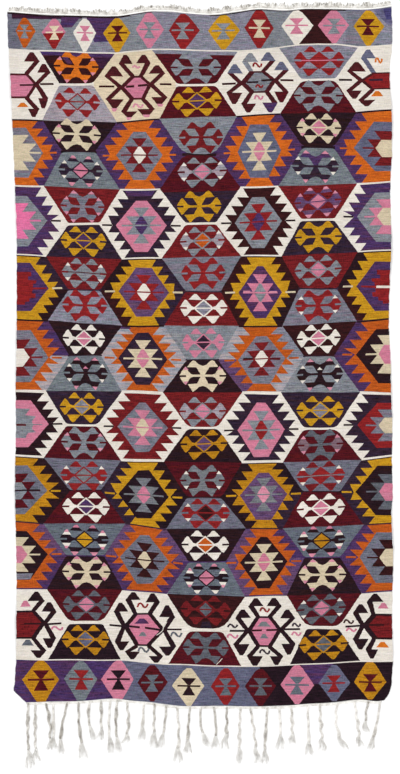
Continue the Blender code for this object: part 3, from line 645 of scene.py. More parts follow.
S_LINE = ((0.02, 0.86), (0.12, 0.16), (0.34, 0.06), (0.50, 0.50), (0.66, 0.94), (0.86, 0.90),
          (0.98, 0.20))
S_WIDE = 1.9

FAR = 60.0                 # past any edge of the rug
FAR_LEFT, FAR_RIGHT = -FAR, CHART_SIZE[0] + FAR
TUCK = 9.0                 # how far a hexagon's ground runs in under the trapezoids
LINE_LEAN = 0.7            # how far a trapezoid's figure leans, as a share of its row line's slope

shapes = []                # (outline in chart units, yarn), the later ones on top


def smooth_line(at, stations, values):
    """A curve through the stations that doesn't overshoot between them."""
    gaps = np.diff(stations)
    rises = np.diff(values) / gaps
    slopes = np.concatenate([rises[:1], (rises[1:] + rises[:-1]) / 2, rises[-1:]])
    slopes[1:-1][rises[1:] * rises[:-1] <= 0] = 0.0
    k = np.clip(np.searchsorted(stations, at) - 1, 0, len(gaps) - 1)
    t = np.clip((at - stations[k]) / gaps[k], 0.0, 1.0)
    near = (1 + 2 * t) * (1 - t) ** 2 * values[k] + t * t * (3 - 2 * t) * values[k + 1]
    curl = t * (1 - t) ** 2 * slopes[k] - t * t * (1 - t) * slopes[k + 1]
    return near + gaps[k] * curl


def low_edge(across):
    return smooth_line(across, ENDS["across"], ENDS["low"])


def high_edge(across):
    return smooth_line(across, ENDS["across"], ENDS["high"])


def add(points, yarn):
    shapes.append((np.array(points, float), yarn))


def put(half, middle, yarn, span="both", lean=0.0, scale=(1.0, 1.0)):
    """Adds a figure from its half outline. A span of right or left runs on past the rug's edge."""
    cx, cy = middle
    wide, tall = scale
    right = [(cx + wide * x, cy + tall * y + lean * wide * x) for x, y in half]
    left = [(cx - wide * x, cy + tall * y - lean * wide * x) for x, y in half]
    if span == "right":
        add(right + [(cx - FAR, right[-1][1]), (cx - FAR, right[0][1])], yarn)
    elif span == "left":
        add(left + [(cx + FAR, left[-1][1]), (cx + FAR, left[0][1])], yarn)
    else:
        add(right + left[::-1], yarn)


def pair(outline, middle, yarn, lean=0.0, sides=(1, -1), scale=(1.0, 1.0)):
    """Adds an outline to the right of the middle and its mirror image to the left."""
    cx, cy = middle
    for side in sides:
        across = [side * scale[0] * x for x, _ in outline]
        add([(cx + dx, cy + scale[1] * y + lean * dx) for dx, (_, y) in zip(across, outline)], yarn)


def stroke(start, end, wide, yarn):
    """Adds a straight bar."""
    start, end = np.array(start), np.array(end)
    run = end - start
    beside = np.array([-run[1], run[0]]) / np.hypot(*run) * wide / 2
    add([start + beside, end + beside, end - beside, start - beside], yarn)


def quad(top_left, top_right, low_left, low_right, top, low, yarn):
    add([(top_left, top), (top_right, top), (low_right, low), (low_left, low)], yarn)


def corners(line):
    """The six trapezoid corners on a row line."""
    row = ROW_LINES[line]
    return [(row[f"x{k}"], row[f"y{k}"]) for k in range(1, 7)]


def line_points(line):
    """A row line from past the left edge to past the right edge."""
    row, found = ROW_LINES[line], corners(line)
    ends = []
    for (x, y), at, height, side in ((found[0], LEFT_AT, row["left"], FAR_LEFT),
                                     (found[-1], RIGHT_AT, row["right"], FAR_RIGHT)):
        ends.append((side, y + (height - y) * (side - x) / (at - x)))
    bends = [place for bent, place in LINE_BENDS if bent == line]
    return ends[:1] + sorted(found + bends) + ends[1:]


def waist(row, column):
    places = WAISTS[row - 1]
    return places[f"l{column}"], places[f"r{column}"], places[f"y{column}"]


def trapezoid(row, column, part):
    left, right, middle = waist(row, column)
    gap = WAIST_STRIPES[row - 1][0] / 2
    line, turn = (row - 1, -1) if part == "upper" else (row, 1)
    first, last = corners(line)[2 * column - 2:2 * column]
    return [first, last, (right, middle + turn * gap), (left, middle + turn * gap)]


def rounded(points, cut, bends):
    """A trapezoid's outline with its two corners at the waist rounded off."""
    first, last, right, left = np.array(points)
    outline = [first] + [np.array(bend) for bend in bends] + [last]
    for corner, before, after in ((right, last, left), (left, right, first)):
        back = (before - corner) * cut / np.hypot(*(before - corner))
        on = (after - corner) * cut / np.hypot(*(after - corner))
        outline += [corner + back * (1 - t) ** 2 + on * t * t for t in ROUND_STEPS]
    return outline


def between(points, u, v):
    """A place in a trapezoid, by its shares of the width and of the way to the waist."""
    first, last, right, left = np.array(points)
    return (first * (1 - u) + last * u) * (1 - v) + (left * (1 - u) + right * u) * v


def zone_side(row, column, side):
    """Upper corner, waist and lower corner of a hexagon zone's side, or None at the rug's edge."""
    if (column, side) in ((0, -1), (3, 1)):
        return None
    knot = 2 * column if side > 0 else 2 * column - 1
    left, right, middle = waist(row, column + (1 if side > 0 else 0))
    return [corners(row - 1)[knot], (left if side > 0 else right, middle), corners(row)[knot]]


def zone(row, column):
    """Left and right side of a hexagon zone."""
    left = zone_side(row, column, -1)
    right = zone_side(row, column, 1)
    high, low = line_points(row - 1), line_points(row)
    if left is None:
        left = [high[0], (FAR_LEFT, right[1][1]), low[0]]
    if right is None:
        right = [high[-1], (FAR_RIGHT, left[1][1]), low[-1]]
    return left, right


def hexagon_points(middle, half, sides, top, bottom, flat_top, flat_bottom, lean):
    return [(middle - half, sides - lean * half), (middle - flat_top, top),
            (middle + flat_top, top), (middle + half, sides + lean * half),
            (middle + flat_bottom, bottom), (middle - flat_bottom, bottom)]


def cut_outline(points, middle, span):
    """The outline of a hexagon at the rug's edge, run on past that edge."""
    if span == "right":
        kept = [p for p in points if p[0] >= middle]
        return [(FAR_LEFT, kept[0][1])] + kept + [(FAR_LEFT, kept[-1][1])]
    if span == "left":
        kept = [p for p in points if p[0] <= middle]
        kept = kept[1:2] + kept[:1] + kept[2:]
        return [(FAR_RIGHT, kept[0][1])] + kept + [(FAR_RIGHT, kept[-1][1])]
    return points


def teeth_of(row, side_points, side, part, vertex):
    """The saw-toothed edge of a ring, from the row line to the waist."""
    first, last, gap, depth = RINGS[row][:4]
    corner, belt = side_points[0 if part == "upper" else 2], side_points[1]
    heights = [corner[1] + (belt[1] - corner[1]) * f for f in np.linspace(first, last, RING_TEETH)]
    slant = list(zip(*sorted([corner[::-1], belt[::-1]])))
    tips = [(np.interp(y, *slant) - side * gap, y) for y in heights]
    points = []
    for here, after in zip(tips, tips[1:]):
        points += [here, (here[0] - side * depth, after[1])]
    return points + [tips[-1], vertex]


def draw_ring(row, column, yarn, middle, half, sides, lean):
    left, right = zone(row, column)
    wide = RINGS[row][4]
    outline = []
    if column < 3:
        vertex = (middle + half + wide, sides + lean * half)
        outline += teeth_of(row, right, 1, "upper", vertex)
        outline += teeth_of(row, right, 1, "lower", vertex)[-2::-1]
    else:
        outline += [right[0], right[2]]
    if column > 0:
        vertex = (middle - half - wide, sides - lean * half)
        outline += teeth_of(row, left, -1, "lower", vertex)
        outline += teeth_of(row, left, -1, "upper", vertex)[-2::-1]
    else:
        outline += [left[2], left[0]]
    add(outline, yarn)


def draw_zone(row, column, yarns):
    """The ground of a hexagon zone, run a little under the trapezoids beside it."""
    left, right = zone(row, column)
    left = [(x - TUCK, y) for x, y in left]
    right = [(x + TUCK, y) for x, y in right]
    middle = [tuple(np.add(left[k], right[k]) / 2) for k in range(3)]
    for yarn, (side, k) in zip(yarns, ((left, 0), (right, 0), (left, 2), (right, 2))):
        add([side[k], side[1], middle[1], middle[k]], yarn)


def draw_hexagon(row, column, ring, around, inner, figure, heart,
                 middle, half, sides, top, bottom, flat_top, flat_bottom, lean):
    span = {0: "right", 3: "left"}.get(column, "both")
    if span == "both":
        left, right = zone(row, column)
        lean += (right[1][1] - left[1][1]) / (right[1][0] - left[1][0])
    draw_zone(row, column, (around,) * 4 if isinstance(around, str) else around)
    draw_ring(row, column, ring, middle, half, sides, lean)
    points = hexagon_points(middle, half, sides, top, bottom, flat_top, flat_bottom, lean)
    add(cut_outline(points, middle, span), inner)
    sides_shown = {"both": (1, -1), "right": (1,), "left": (-1,)}[span]
    centre = (middle, sides)
    start, end, thick = RING_BAR
    bar = level(half + end, thick / 2, half + start)
    pair(bar, centre, RINGS[row][5], lean, sides_shown)
    tall = (bottom - top) / HEXAGON_TALL
    if figure in EDGE_FIGURES:
        outline, yarn = EDGE_FIGURES[figure]
        put(outline, centre, yarn, span, lean, (1.0, tall))
        if heart:
            put(EDGE_FIGURE_HEART, centre, heart, span, lean)
        return
    scale = (min(1.0, half / HEXAGON_HALF) if span == "both" else 1.0, tall)
    for part in HEXAGON_PARTS:
        put(part, centre, figure, span, lean, scale)
    pair(HEXAGON_BAR, centre, figure, lean, sides_shown, scale)
    if heart:
        put(EDGE_HEART if span != "both" else HEXAGON_HEART, centre, heart, span, lean, scale)
        if span == "both":
            put(HEXAGON_LINE, centre, figure, span, lean, scale)


def inset(start, end, away, height):
    """Where the side from start to end, moved by away, meets the level edge moved to height."""
    share = (height - start[1]) / (end[1] - start[1])
    return start[0] + (end[0] - start[0]) * share + away, height


def hooked_corners(row, column):
    """Corners of a hooked hexagon's outline and of its core, by name."""
    (left, left_y, right, right_y, top, top_left, top_right, low, low_left, low_right,
     in_left, in_right, in_level) = HOOKED[row, column][3:]
    rim = {"left": (left, left_y), "top_left": (top_left, top), "top_right": (top_right, top),
           "right": (right, right_y), "low_right": (low_right, low), "low_left": (low_left, low)}
    core = {"left": (left + in_left, left_y), "right": (right - in_right, right_y)}
    for side, away in (("left", in_left), ("right", -in_right)):
        for edge, height in (("top", top + in_level), ("low", low - in_level)):
            corner = f"{edge}_{side}"
            core[corner] = inset(rim[side], rim[corner], away, height)
    return rim, core


def draw_hooked(row, column):
    ground, core_yarn, rim_yarn = HOOKED[row, column][:3]
    rim, core = hooked_corners(row, column)
    draw_zone(row, column, (ground,) * 4)
    sides = {0: ("right",), 3: ("left",)}.get(column, ("left", "right"))
    leaves = [corner for side in sides for corner in (f"top_{side}", side, side, f"low_{side}")]
    for n, (corner, hook) in enumerate(zip(leaves, HOOKS[row, column])):
        draw_hook(rim[corner], *hook, *HOOK_YARNS.get((row, column, n), (rim_yarn, rim_yarn)))
    order = {0: ("top_right", "right", "low_right"), 3: ("low_left", "left", "top_left")}
    names = order.get(column, ("left", "top_left", "top_right", "right", "low_right", "low_left"))
    for corner_set, yarn in ((rim, rim_yarn), (core, core_yarn)):
        points = [corner_set[name] for name in names]
        if len(points) == 3:
            far = FAR_LEFT if column == 0 else FAR_RIGHT
            points += [(far, points[2][1]), (far, points[0][1])]
        add(points, yarn)


def draw_hook(root, x, y, outer_x, outer_y, head, arm):
    """Adds an arm from its root under the rim to the outer end of its head, and the head."""
    outer = np.array((outer_x, outer_y))
    run = np.array(root) - outer
    run = run / np.hypot(*run)
    foot = root + run * HOOK_INTO
    side = np.sign(outer_x - x)
    away = np.array([-run[1], run[0]]) * HOOK_ARM
    if away[0] * side < 0:
        away = -away
    out, back, at_head = ARM_ENDS
    inner = outer - np.array((side * HOOK_ARM * at_head, 0.0))
    add([outer, foot + away * out, foot - away * back, inner], arm)
    blunt, narrow = HOOK_TIP
    wide = outer_x - x
    half = blunt * side
    shoulder, flare = y + narrow * (outer_y - y), (wide - half) * narrow * HOOK_CURVE
    add([(outer_x, outer_y), (x + half + flare, shoulder), (x + half, y), (x - half, y),
         (x - half - flare, shoulder), (x - wide, outer_y)], head)


def draw_figure(place, kind, middle, wide, lean, yarn, heart, ground, upper_end, side_end,
                foot_end):
    def one(outline, tint, scale=(1.0, 1.0)):
        put(outline, middle, tint, "both", lean, (scale[0] * wide, scale[1]))

    def both(outline, tint):
        pair(outline, middle, tint, lean, (1, -1), (wide, 1.0))

    both(SIDE_DIAMOND, SIDE_YARNS.get(place, yarn))
    if kind == "cross":
        one(CROSS_BODY, yarn)
        one(ARM, yarn)
        if heart:
            one(SMALL_HEART, heart)
    else:
        both(UPPER_TRIANGLE, TRIANGLE_YARNS.get(place, yarn))
        both(FOOT, TRIANGLE_YARNS.get(place, yarn))
        one(RHOMB, yarn)
        if kind in HEART_SIZES:
            one(RHOMB_HEART, heart, HEART_SIZES[kind])
            one(RHOMB_BAR, yarn)
        else:
            one(SOLID_LINE, heart, SOLID_SPREAD)
    both(SIDE_NOTCH, ground)
    if place in UPPER_HALVES:
        one([p for p in CROSS_BODY if p[1] < ARM[0][1]], UPPER_HALVES[place])
    upper, foot = ((CROSS_UPPER_END, CROSS_FOOT_END) if kind == "cross" else (UPPER_END, FOOT_END))
    for outline, tint in ((upper, upper_end), (foot, foot_end), (SIDE_UPPER_END, side_end),
                          (SIDE_LOWER_END, side_end)):
        if tint:
            both(outline, tint)
    if place in STRIPED:
        for outline, tint in STRIPED_ENDS:
            both(outline, tint)


def draw_trapezoid(place, ground, kind, x, y, wide, turn, yarn, heart="", upper_end="",
                   side_end="", foot_end=""):
    points = trapezoid(*place)
    line = place[0] - 1 if place[2] == "upper" else place[0]
    bends = [bend for bent, bend in LINE_BENDS
             if bent == line and points[0][0] < bend[0] < points[1][0]]
    add(rounded(points, ROUNDED.get(place, ROUND), bends), ground)
    for *at, left, right, start, end, tint in TINTS:
        if tuple(at) == place:
            add([between(points, u, v) for u, v in ((left, start), (right, start), (right, end),
                                                    (left, end))], tint)
    lean = LINE_LEAN * (points[1][1] - points[0][1]) / (points[1][0] - points[0][0]) + turn
    draw_figure(place, kind, (x, y), wide, lean, yarn, heart, ground, upper_end, side_end,
                foot_end)


def draw_stripe(line, drop, thick, yarn):
    points = line_points(line)
    for k in range(len(points) - 1):
        if 0 < line < len(ROW_LINES) - 1 and k % 2 == 1:
            continue
        (x0, y0), (x1, y1) = points[k], points[k + 1]
        add([(x0, y0 + drop), (x1, y1 + drop), (x1, y1 + drop + thick), (x0, y0 + drop + thick)],
            yarn)


def draw_diamond(left, x, right, top, y, bottom, yarn, figure):
    scale = ((right - left) / 2, (bottom - top) / 2)
    upper = [(dx, min(dy, 0.0) * (y - top) + max(dy, 0.0) * (bottom - y))
             for dx, dy in BAND_DIAMOND]
    rims = [(x + (right - x) * dx, y + dy) for dx, dy in upper]
    rims += [(x - (x - left) * dx, y + dy) for dx, dy in upper[::-1]]
    add(rims, yarn)
    if (yarn, figure) == TWO_TONE[:2]:
        add([p for p in rims if p[1] > y] + [(left + 1, y + 1), (right - 1, y + 1)], TWO_TONE[2])
    for half in BAND_FIGURE:
        put(half, (x, y), figure, "both", 0.0, scale)


def high_height(x):
    """Height on the chart of the sheet's high end."""
    return CHART_MIDDLE[1] - high_edge((x - CHART_MIDDLE[0]) * CHART_UNIT) / CHART_UNIT


def draw_edge_line(left, right, thick, yarn):
    x = np.linspace(left, right, max(3, int((right - left) / EDGE_LINE_STEP)))
    top = high_height(x)
    points = np.column_stack([x, top - EDGE_LINE_OVER]).tolist()
    add(points + np.column_stack([x, top + thick]).tolist()[::-1], yarn)


def draw_s(left, right, top, bottom, yarn):
    points = [(left + (right - left) * u, top + (bottom - top) * v) for u, v in S_LINE]
    for start, end in zip(points, points[1:]):
        stroke(start, end, S_WIDE, yarn)


def draw_chart():
    for ground in GROUNDS:
        quad(*ground)
    for diamond in DIAMONDS:
        draw_diamond(*diamond)
    for edge_line in EDGE_LINES:
        draw_edge_line(*edge_line)
    for place in HOOKED:
        draw_hooked(*place)
    for place, hexagon in zip(HEXAGON_PLACES, HEXAGONS):
        draw_hexagon(*place, *hexagon)
    for patch in HEXAGON_PATCHES:
        quad(*patch)
    for left, right, height, end_height, thick, yarn in BARS:
        stroke((left, height), (right, end_height), thick + BAR_SPREAD, yarn)
    for x, y, half, tall, yarn in SMALL_TRIANGLES:
        top = DOME * half
        quad(x - top, x + top, x - half, x + half, y, y + tall, yarn)
    for figure in S_FIGURES:
        draw_s(*figure)
    for start, end in zip(THREAD, THREAD[1:]):
        stroke(start, end, THREAD_WIDE, "white")
    for row, (thick, yarn) in enumerate(WAIST_STRIPES, 1):
        for column in (1, 2, 3):
            left, right, height = waist(row, column)
            left, right = left - 1, right + 1
            quad(left, right, left, right, height - thick, height + thick, yarn)
    for place, figure in zip(TRAPEZOID_PLACES, TRAPEZOIDS):
        draw_trapezoid(place, *figure)
    for patch in FIGURE_PATCHES:
        quad(*patch)
    stroke(*SHORT_THREAD, THREAD_WIDE, "white")
    for stripe in LINE_STRIPES:
        draw_stripe(*stripe)


# ---------------------------------------------------------------------------------------------
# From the chart to the cloth

CUT_ALONG = 1.6            # slanted edges are cut at these heights, and level ones at these widths
CUT_ACROSS = 5.0
LEVEL_SLOPE = 0.3          # an edge flatter than this is level
CUT_NEAREST = 0.25         # no cut lies nearer an edge's end
GRID = 7.0
GRID_START = (0.37, 0.41)
RIM_MARGIN = 2             # how far past the rug's outline the chart is cut into triangles
SAME_POINT = 1e-4
STEP_PITCH = 4.0           # small steps where a slanted edge passes from warp to warp
STEP_DEEP = 0.20
WANDER = 0.24
RIM_STEPS = (121, 241)     # points across and along the rug's outline
UV_MARGIN = 0.001


def lift(across, along):
    """Height of the sheet's underside above the floor."""
    height = np.zeros_like(across)
    for place in LIFTS:
        u = (across - place["across"]) / place["half_across"]
        v = (along - place["along"]) / place["half_along"]
        reach = np.clip(np.hypot(u, v), 0.0, 1.0)
        height += place["rise"] * (0.5 + 0.5 * np.cos(math.pi * reach)) ** LIFT_POWER
    from_low = np.clip((along - low_edge(across)) / LEVEL_END - 1.0, 0.0, 1.0)
    from_high = np.clip((high_edge(across) - along) / LEVEL_END - 1.0, 0.0, 1.0)
    fade = from_low * from_high
    return height * fade * fade * (3 - 2 * fade)


def to_chart(across, along):
    return across / CHART_UNIT + CHART_MIDDLE[0], CHART_MIDDLE[1] - along / CHART_UNIT


def to_rug(x, y):
    return (x - CHART_MIDDLE[0]) * CHART_UNIT, (CHART_MIDDLE[1] - y) * CHART_UNIT


def woven(x, y):
    """Moves chart points as hand weaving does, in small steps and in slow waves of odd lengths."""
    steps = STEP_DEEP * np.sin(2 * math.pi * y / STEP_PITCH)
    across = x + steps + WANDER * np.sin(0.31 * y + 0.9) * np.sin(0.13 * x + 0.07 * y)
    along = y + WANDER * np.sin(0.11 * x + 0.05 * y + 1.7)
    return across, along


def outline_points():
    """The sheet's outline in chart units, counter-clockwise on the rug."""
    s, t = (np.linspace(0.0, 1.0, steps) for steps in RIM_STEPS)
    low, high = ENDS["low"].mean(), ENDS["high"].mean()

    def at(s_value, t_value):
        along = low + (high - low) * t_value
        for _ in range(4):
            left = smooth_line(along, SELVEDGES["along"], SELVEDGES["left"])
            right = smooth_line(along, SELVEDGES["along"], SELVEDGES["right"])
            across = left + (right - left) * s_value
            along = low_edge(across) + (high_edge(across) - low_edge(across)) * t_value
        return np.column_stack([across, along])

    sides = [at(s, np.zeros_like(s)), at(np.ones_like(t), t), at(s[::-1], np.ones_like(s)),
             at(np.zeros_like(t), t[::-1])]
    points = np.vstack([side[:-1] for side in sides])
    return np.column_stack(to_chart(points[:, 0], points[:, 1]))


def cut_edge(start, end):
    """Points that cut an edge at even heights, or at even widths where it is level."""
    (x0, y0), (x1, y1) = start, end
    is_level = abs(y1 - y0) < LEVEL_SLOPE * abs(x1 - x0)
    a, b, pitch = (x0, x1, CUT_ACROSS) if is_level else (y0, y1, CUT_ALONG)
    low, high = min(a, b), max(a, b)
    marks = pitch * np.arange(math.floor(low / pitch) + 1, math.ceil(high / pitch))
    marks = marks[(marks > low + CUT_NEAREST) & (marks < high - CUT_NEAREST)]
    if a > b:
        marks = marks[::-1]
    return [(x0 + (x1 - x0) * (m - a) / (b - a), y0 + (y1 - y0) * (m - a) / (b - a))
            for m in marks]


def inside(points, outline):
    """Which points lie inside an outline."""
    x, y = points[:, 0], points[:, 1]
    found = np.zeros(len(points), bool)
    for (x0, y0), (x1, y1) in zip(outline, np.roll(outline, -1, axis=0)):
        if y0 != y1:
            found ^= ((y0 > y) != (y1 > y)) & (x < (x1 - x0) * (y - y0) / (y1 - y0) + x0)
    return found


def within(point, other, low, high):
    """A point of an edge, moved along the edge until it lies between two widths."""
    x = min(max(point[0], low), high)
    if x == point[0]:
        return point
    share = (x - point[0]) / (other[0] - point[0])
    return x, point[1] + (other[1] - point[1]) * share


def chart_mesh():
    """Vertices in chart units, triangles, and each triangle's yarn."""
    rim = outline_points()
    low, high = rim.min(axis=0) - RIM_MARGIN, rim.max(axis=0) + RIM_MARGIN
    points, edges, known = [], [], {}

    def vertex(x, y):
        key = (round(x, 3), round(y, 3))
        if key not in known:
            known[key] = len(points)
            points.append(Vector(key))
        return known[key]

    def chain(outline):
        for start, end in zip(outline, np.roll(outline, -1, axis=0)):
            if max(start[0], end[0]) < low[0] or min(start[0], end[0]) > high[0]:
                continue
            start, end = within(start, end, low[0], high[0]), within(end, start, low[0], high[0])
            stations = [tuple(start)] + cut_edge(start, end) + [tuple(end)]
            spots = [vertex(*p) for p in stations]
            edges.extend((a, b) for a, b in zip(spots, spots[1:]) if a != b)

    rim_spots = [vertex(*p) for p in rim]
    edges.extend(zip(rim_spots, rim_spots[1:] + rim_spots[:1]))
    for outline, _ in shapes:
        chain(outline)
    for gx in np.arange(low[0], high[0], GRID):
        for gy in np.arange(low[1], high[1], GRID):
            vertex(gx + GRID_START[0], gy + GRID_START[1])
    made = delaunay_2d_cdt(points, edges, [], 0, SAME_POINT)
    verts = np.array([tuple(v) for v in made[0]])
    faces = np.array(made[2])
    centres = verts[faces].mean(axis=1)
    kept = inside(centres, rim)
    faces, centres = faces[kept], centres[kept]
    yarns = np.full(len(faces), -1)
    names = list(YARNS)
    for outline, yarn in shapes:
        box_low, box_high = outline.min(axis=0), outline.max(axis=0)
        near = np.flatnonzero(((centres >= box_low) & (centres <= box_high)).all(axis=1))
        if len(near):
            yarns[near[inside(centres[near], outline)]] = names.index(yarn)
    used, faces = np.unique(faces, return_inverse=True)
    return verts[used], faces.reshape(-1, 3), yarns


def linear(colour):
    c = np.array(colour, float) / 255.0
    return np.where(c <= 0.04045, c / 12.92, ((c + 0.055) / 1.055) ** 2.4)


def add_object(name, data, material=None):
    if material:
        data.materials.append(material)
    obj = bpy.data.objects.new(name, data)
    bpy.context.scene.collection.objects.link(obj)
    return obj


def make_rug(material):
    draw_chart()
    verts, faces, yarns = chart_mesh()
    across, along = to_rug(*woven(verts[:, 0], verts[:, 1]))
    base = lift(across, along)
    a, b, c = (np.column_stack([across, along])[faces[:, k]] for k in range(3))
    turned = (b - a)[:, 0] * (c - a)[:, 1] - (b - a)[:, 1] * (c - a)[:, 0] < 0
    faces[turned] = faces[turned][:, ::-1]
    count = len(verts)
    points = np.vstack([np.column_stack([across, along, base + rise])
                        for rise in (SHEET_TOP, SHEET_UNDER)])

    # the rim closes the two faces, and takes the yarn of the triangle that it belongs to
    ends = np.concatenate([faces[:, [0, 1]], faces[:, [1, 2]], faces[:, [2, 0]]])
    owner = np.tile(np.arange(len(faces)), 3)
    _, index, uses = np.unique(np.sort(ends, axis=1), axis=0, return_index=True,
                               return_counts=True)
    rim = ends[index[uses == 1]]
    rim_yarns = yarns[owner[index[uses == 1]]]
    rim_a = np.column_stack([rim[:, 0], rim[:, 0] + count, rim[:, 1] + count])
    rim_b = np.column_stack([rim[:, 0], rim[:, 1] + count, rim[:, 1]])
    all_faces = np.vstack([faces, faces[:, ::-1] + count, rim_a, rim_b])
    all_yarns = np.concatenate([yarns, yarns, rim_yarns, rim_yarns])

    mesh = bpy.data.meshes.new("kilim_weave")
    mesh.from_pydata(points.tolist(), [], all_faces.tolist())
    mains = np.array([np.append(linear(main), 1.0) for main, _, _ in YARNS.values()])
    seconds = np.array([np.append(linear(second), share) for _, second, share in YARNS.values()])
    for name, colours in (("yarn", mains), ("streak", seconds)):
        layer = mesh.attributes.new(name, "FLOAT_COLOR", "CORNER")
        layer.data.foreach_set("color", np.repeat(colours[all_yarns], 3, axis=0).ravel())
    flat = mesh.uv_layers.new(name="OFBake")
    spots = points[all_faces.ravel()][:, :2]
    low, high = spots.min(axis=0), spots.max(axis=0)
    shares = UV_MARGIN + (1 - 2 * UV_MARGIN) * (spots - low) / (high - low)
    flat.data.foreach_set("uv", shares.ravel())
    return add_object("kilim_weave", mesh, material)


# ---------------------------------------------------------------------------------------------
# Fringes. Numbers that vary are given as their least value and how far they range above it

PLIES = 3                  # of a strand of the low fringe
STRAND_RADIUS = 0.0018
STRAND_STEP = 0.0022
SLUBS = (7, 0.16, 0.12)    # thick places along a ply, how thick, and how much thinner it is over all
WIND_RADIUS = 0.0019
WIND_PITCH = 0.017
WIND_PITCH_RANGE = (0.8, 0.5)
FLATTER = 0.60             # a wind stands this share of its width off the floor
LOOSE_SHARE = 0.7          # of the strands that have a loose place
LOOSE = (1.5, 0.09)        # how much wider they are there, and over what share of the length
LOOSE_PLACE = (0.20, 0.5)
NOWHERE = 2.0
KNOT = (0.25, 0.02, 0.022)           # how much a strand thickens before its hairs, and where
RUN_POWER = 1.3            # how late along a lock its sideways run comes
WAVE_LONG = 0.036          # a lock's waves along its length, and how far they swing
WAVE_LONG_RANGE = (0.8, 0.6)
WAVE_WIDE = 0.0016
WAVE_WIDE_RANGE = (0.4, 1.2)
BRUSH_START = (0.60, 0.18)           # share of a lock's length where its plies open into hairs
HAIRS = 13                 # hairs that each ply ends in
HAIR_STEPS = 8
HAIR_RADIUS = 0.0005
HAIR_REACH = (0.55, 0.45)
HAIR_REACH_POWER = 0.6     # most of them reach far
HAIR_RISE = 0.0010
HAIR_WAVE = (0.0014, 1.7)  # a wave's width, and how many there are
HAIR_FAN = 0.7             # how soon a hair fans out, comes down to the floor and tapers
HAIR_DOWN = 1.6
HAIR_TAPER = 0.6
ROOT_THREADS = 6           # warps that gather into the top of a lock
ROOT_REACH = (0.0085, 0.016)         # how far beside a lock they start, and how far down it they go
ROOT_DROP_RANGE = (0.7, 0.6)
ROOT_STEPS = 7
ROOT_RADIUS = 0.0010
ROOT_OVER = 0.0015         # they start this far above the lock's own start
ROOT_HEIGHTS = (0.0012, 0.0030)
ROOT_CURVE = 1.8
LOCK_DROP = 0.0035         # the locks start this far below the sheet

TUFTS = 104                # tufts of cut warp along the high end, and the ends in each
TUFT_ENDS = 6
TUFTS_FROM, TUFTS_TO = -0.5930, 0.5900
TUFT_STRAY = 0.5           # of a tuft's share of the width
TUFT_TALL = (0.0090, 0.0095)
TUFT_LEAN = 0.0080
TUFT_HALF = 0.0060
TUFT_DROP = 0.0052         # the tufts start this far above the sheet
END_STEPS = 6
END_RADIUS = 0.0017
END_LENGTH = (0.70, 0.45)
END_RISE = 0.0022
END_BEND = 0.0016
END_SCATTER = 0.0012       # how far the ends stray where they start, fan out and lean apart
END_FAN = 0.0022
END_STRAY = 0.0040
END_TAPER = 0.30
TUFTS_PAST = (0.002, 0.001)          # how far ends may lean past the first and last tuft
HIGH_REACH = 1.1985        # no tuft passes this line

# Cords along an end of the sheet, plies wound round each other: distance from the sheet, radius
# and pitch of the wind, step, plies, turn of the first, radius of a ply
LOW_CORDS = (
    (0.0028, 0.0014, 0.011, 0.0016, 2, 0.0, 0.0013),
    (0.0066, 0.0013, 0.012, 0.0016, 2, 1.3, 0.0012),
)
LOW_CORD_ENDS = (-0.5365, 0.5605)
HIGH_CORD = (0.0029, 0.0009, 0.010, 0.0015, 2, 0.4, 0.0018)
HIGH_CORD_ENDS = (-0.5955, 0.5918)
HIGH_BRAID = (0.0085, 0.0019, 0.021, 0.0018, 3, 1.1, 0.0017)
HIGH_BRAID_ENDS = (-0.5935, 0.5900)


def spread(index, salt):
    """A fixed, uneven number between 0 and 1 for each index."""
    return math.sin(12.9898 * (index + 1) + 78.233 * salt) * 43758.5453 % 1.0


def vary(index, salt, least, reach):
    """Such a number from least to least + reach."""
    return least + reach * spread(index, salt)


def swing(index, salt):
    """Such a number between -0.5 and 0.5."""
    return spread(index, salt) - 0.5


def tube(paths, sides, name, material, tone=0.0, uneven=0.0, group=1):
    """One mesh of tapering tubes. Each path is rows of (x, y, z, radius). A group of paths is
    lighter or darker than the next."""
    points, faces = [], []
    turn = 2 * math.pi * np.arange(sides)[:, None] / sides
    for path in paths:
        ahead = np.gradient(path[:, :3], axis=0)
        ahead /= np.linalg.norm(ahead, axis=1)[:, None]
        beside = np.cross(ahead, (0.0, 0.0, 1.0))
        beside /= np.linalg.norm(beside, axis=1)[:, None]
        over = np.cross(beside, ahead)
        start = len(points)
        last = start + (len(path) - 1) * sides
        out = np.cos(turn) * beside[:, None] + np.sin(turn) * over[:, None]
        points += (path[:, None, :3] + path[:, None, 3:] * out).reshape(-1, 3).tolist()
        faces += [(low + j, low + (j + 1) % sides, low + sides + (j + 1) % sides, low + sides + j)
                  for low in range(start, last, sides) for j in range(sides)]
        faces.append(tuple(range(start, start + sides))[::-1])
        faces.append(tuple(range(last, last + sides)))
    mesh = bpy.data.meshes.new(name)
    mesh.from_pydata(points, [], faces)
    mesh.shade_smooth()
    tones = [np.full(len(path) * sides, tone + uneven * swing(n // group, 20))
             for n, path in enumerate(paths)]
    mesh.attributes.new("tone", "FLOAT", "POINT").data.foreach_set("value", np.concatenate(tones))
    return add_object(name, mesh, material)


def lock_line(lock, start, code):
    """The middle line of a lock as a function of the share of its length."""
    long = WAVE_LONG * vary(code, 11, *WAVE_LONG_RANGE)
    wide = WAVE_WIDE * vary(code, 12, *WAVE_WIDE_RANGE)
    turn = 2 * math.pi * spread(code, 13)

    def at(t):
        across = lock["root"] + lock["run"] * t ** RUN_POWER + lock["bow"] * np.sin(math.pi * t)
        phase = 2 * math.pi * t * lock["length"] / long + turn
        across = across + wide * (np.sin(phase) - math.sin(turn)) * np.minimum(1.0, 4 * t)
        return across, start - lock["length"] * t
    return at


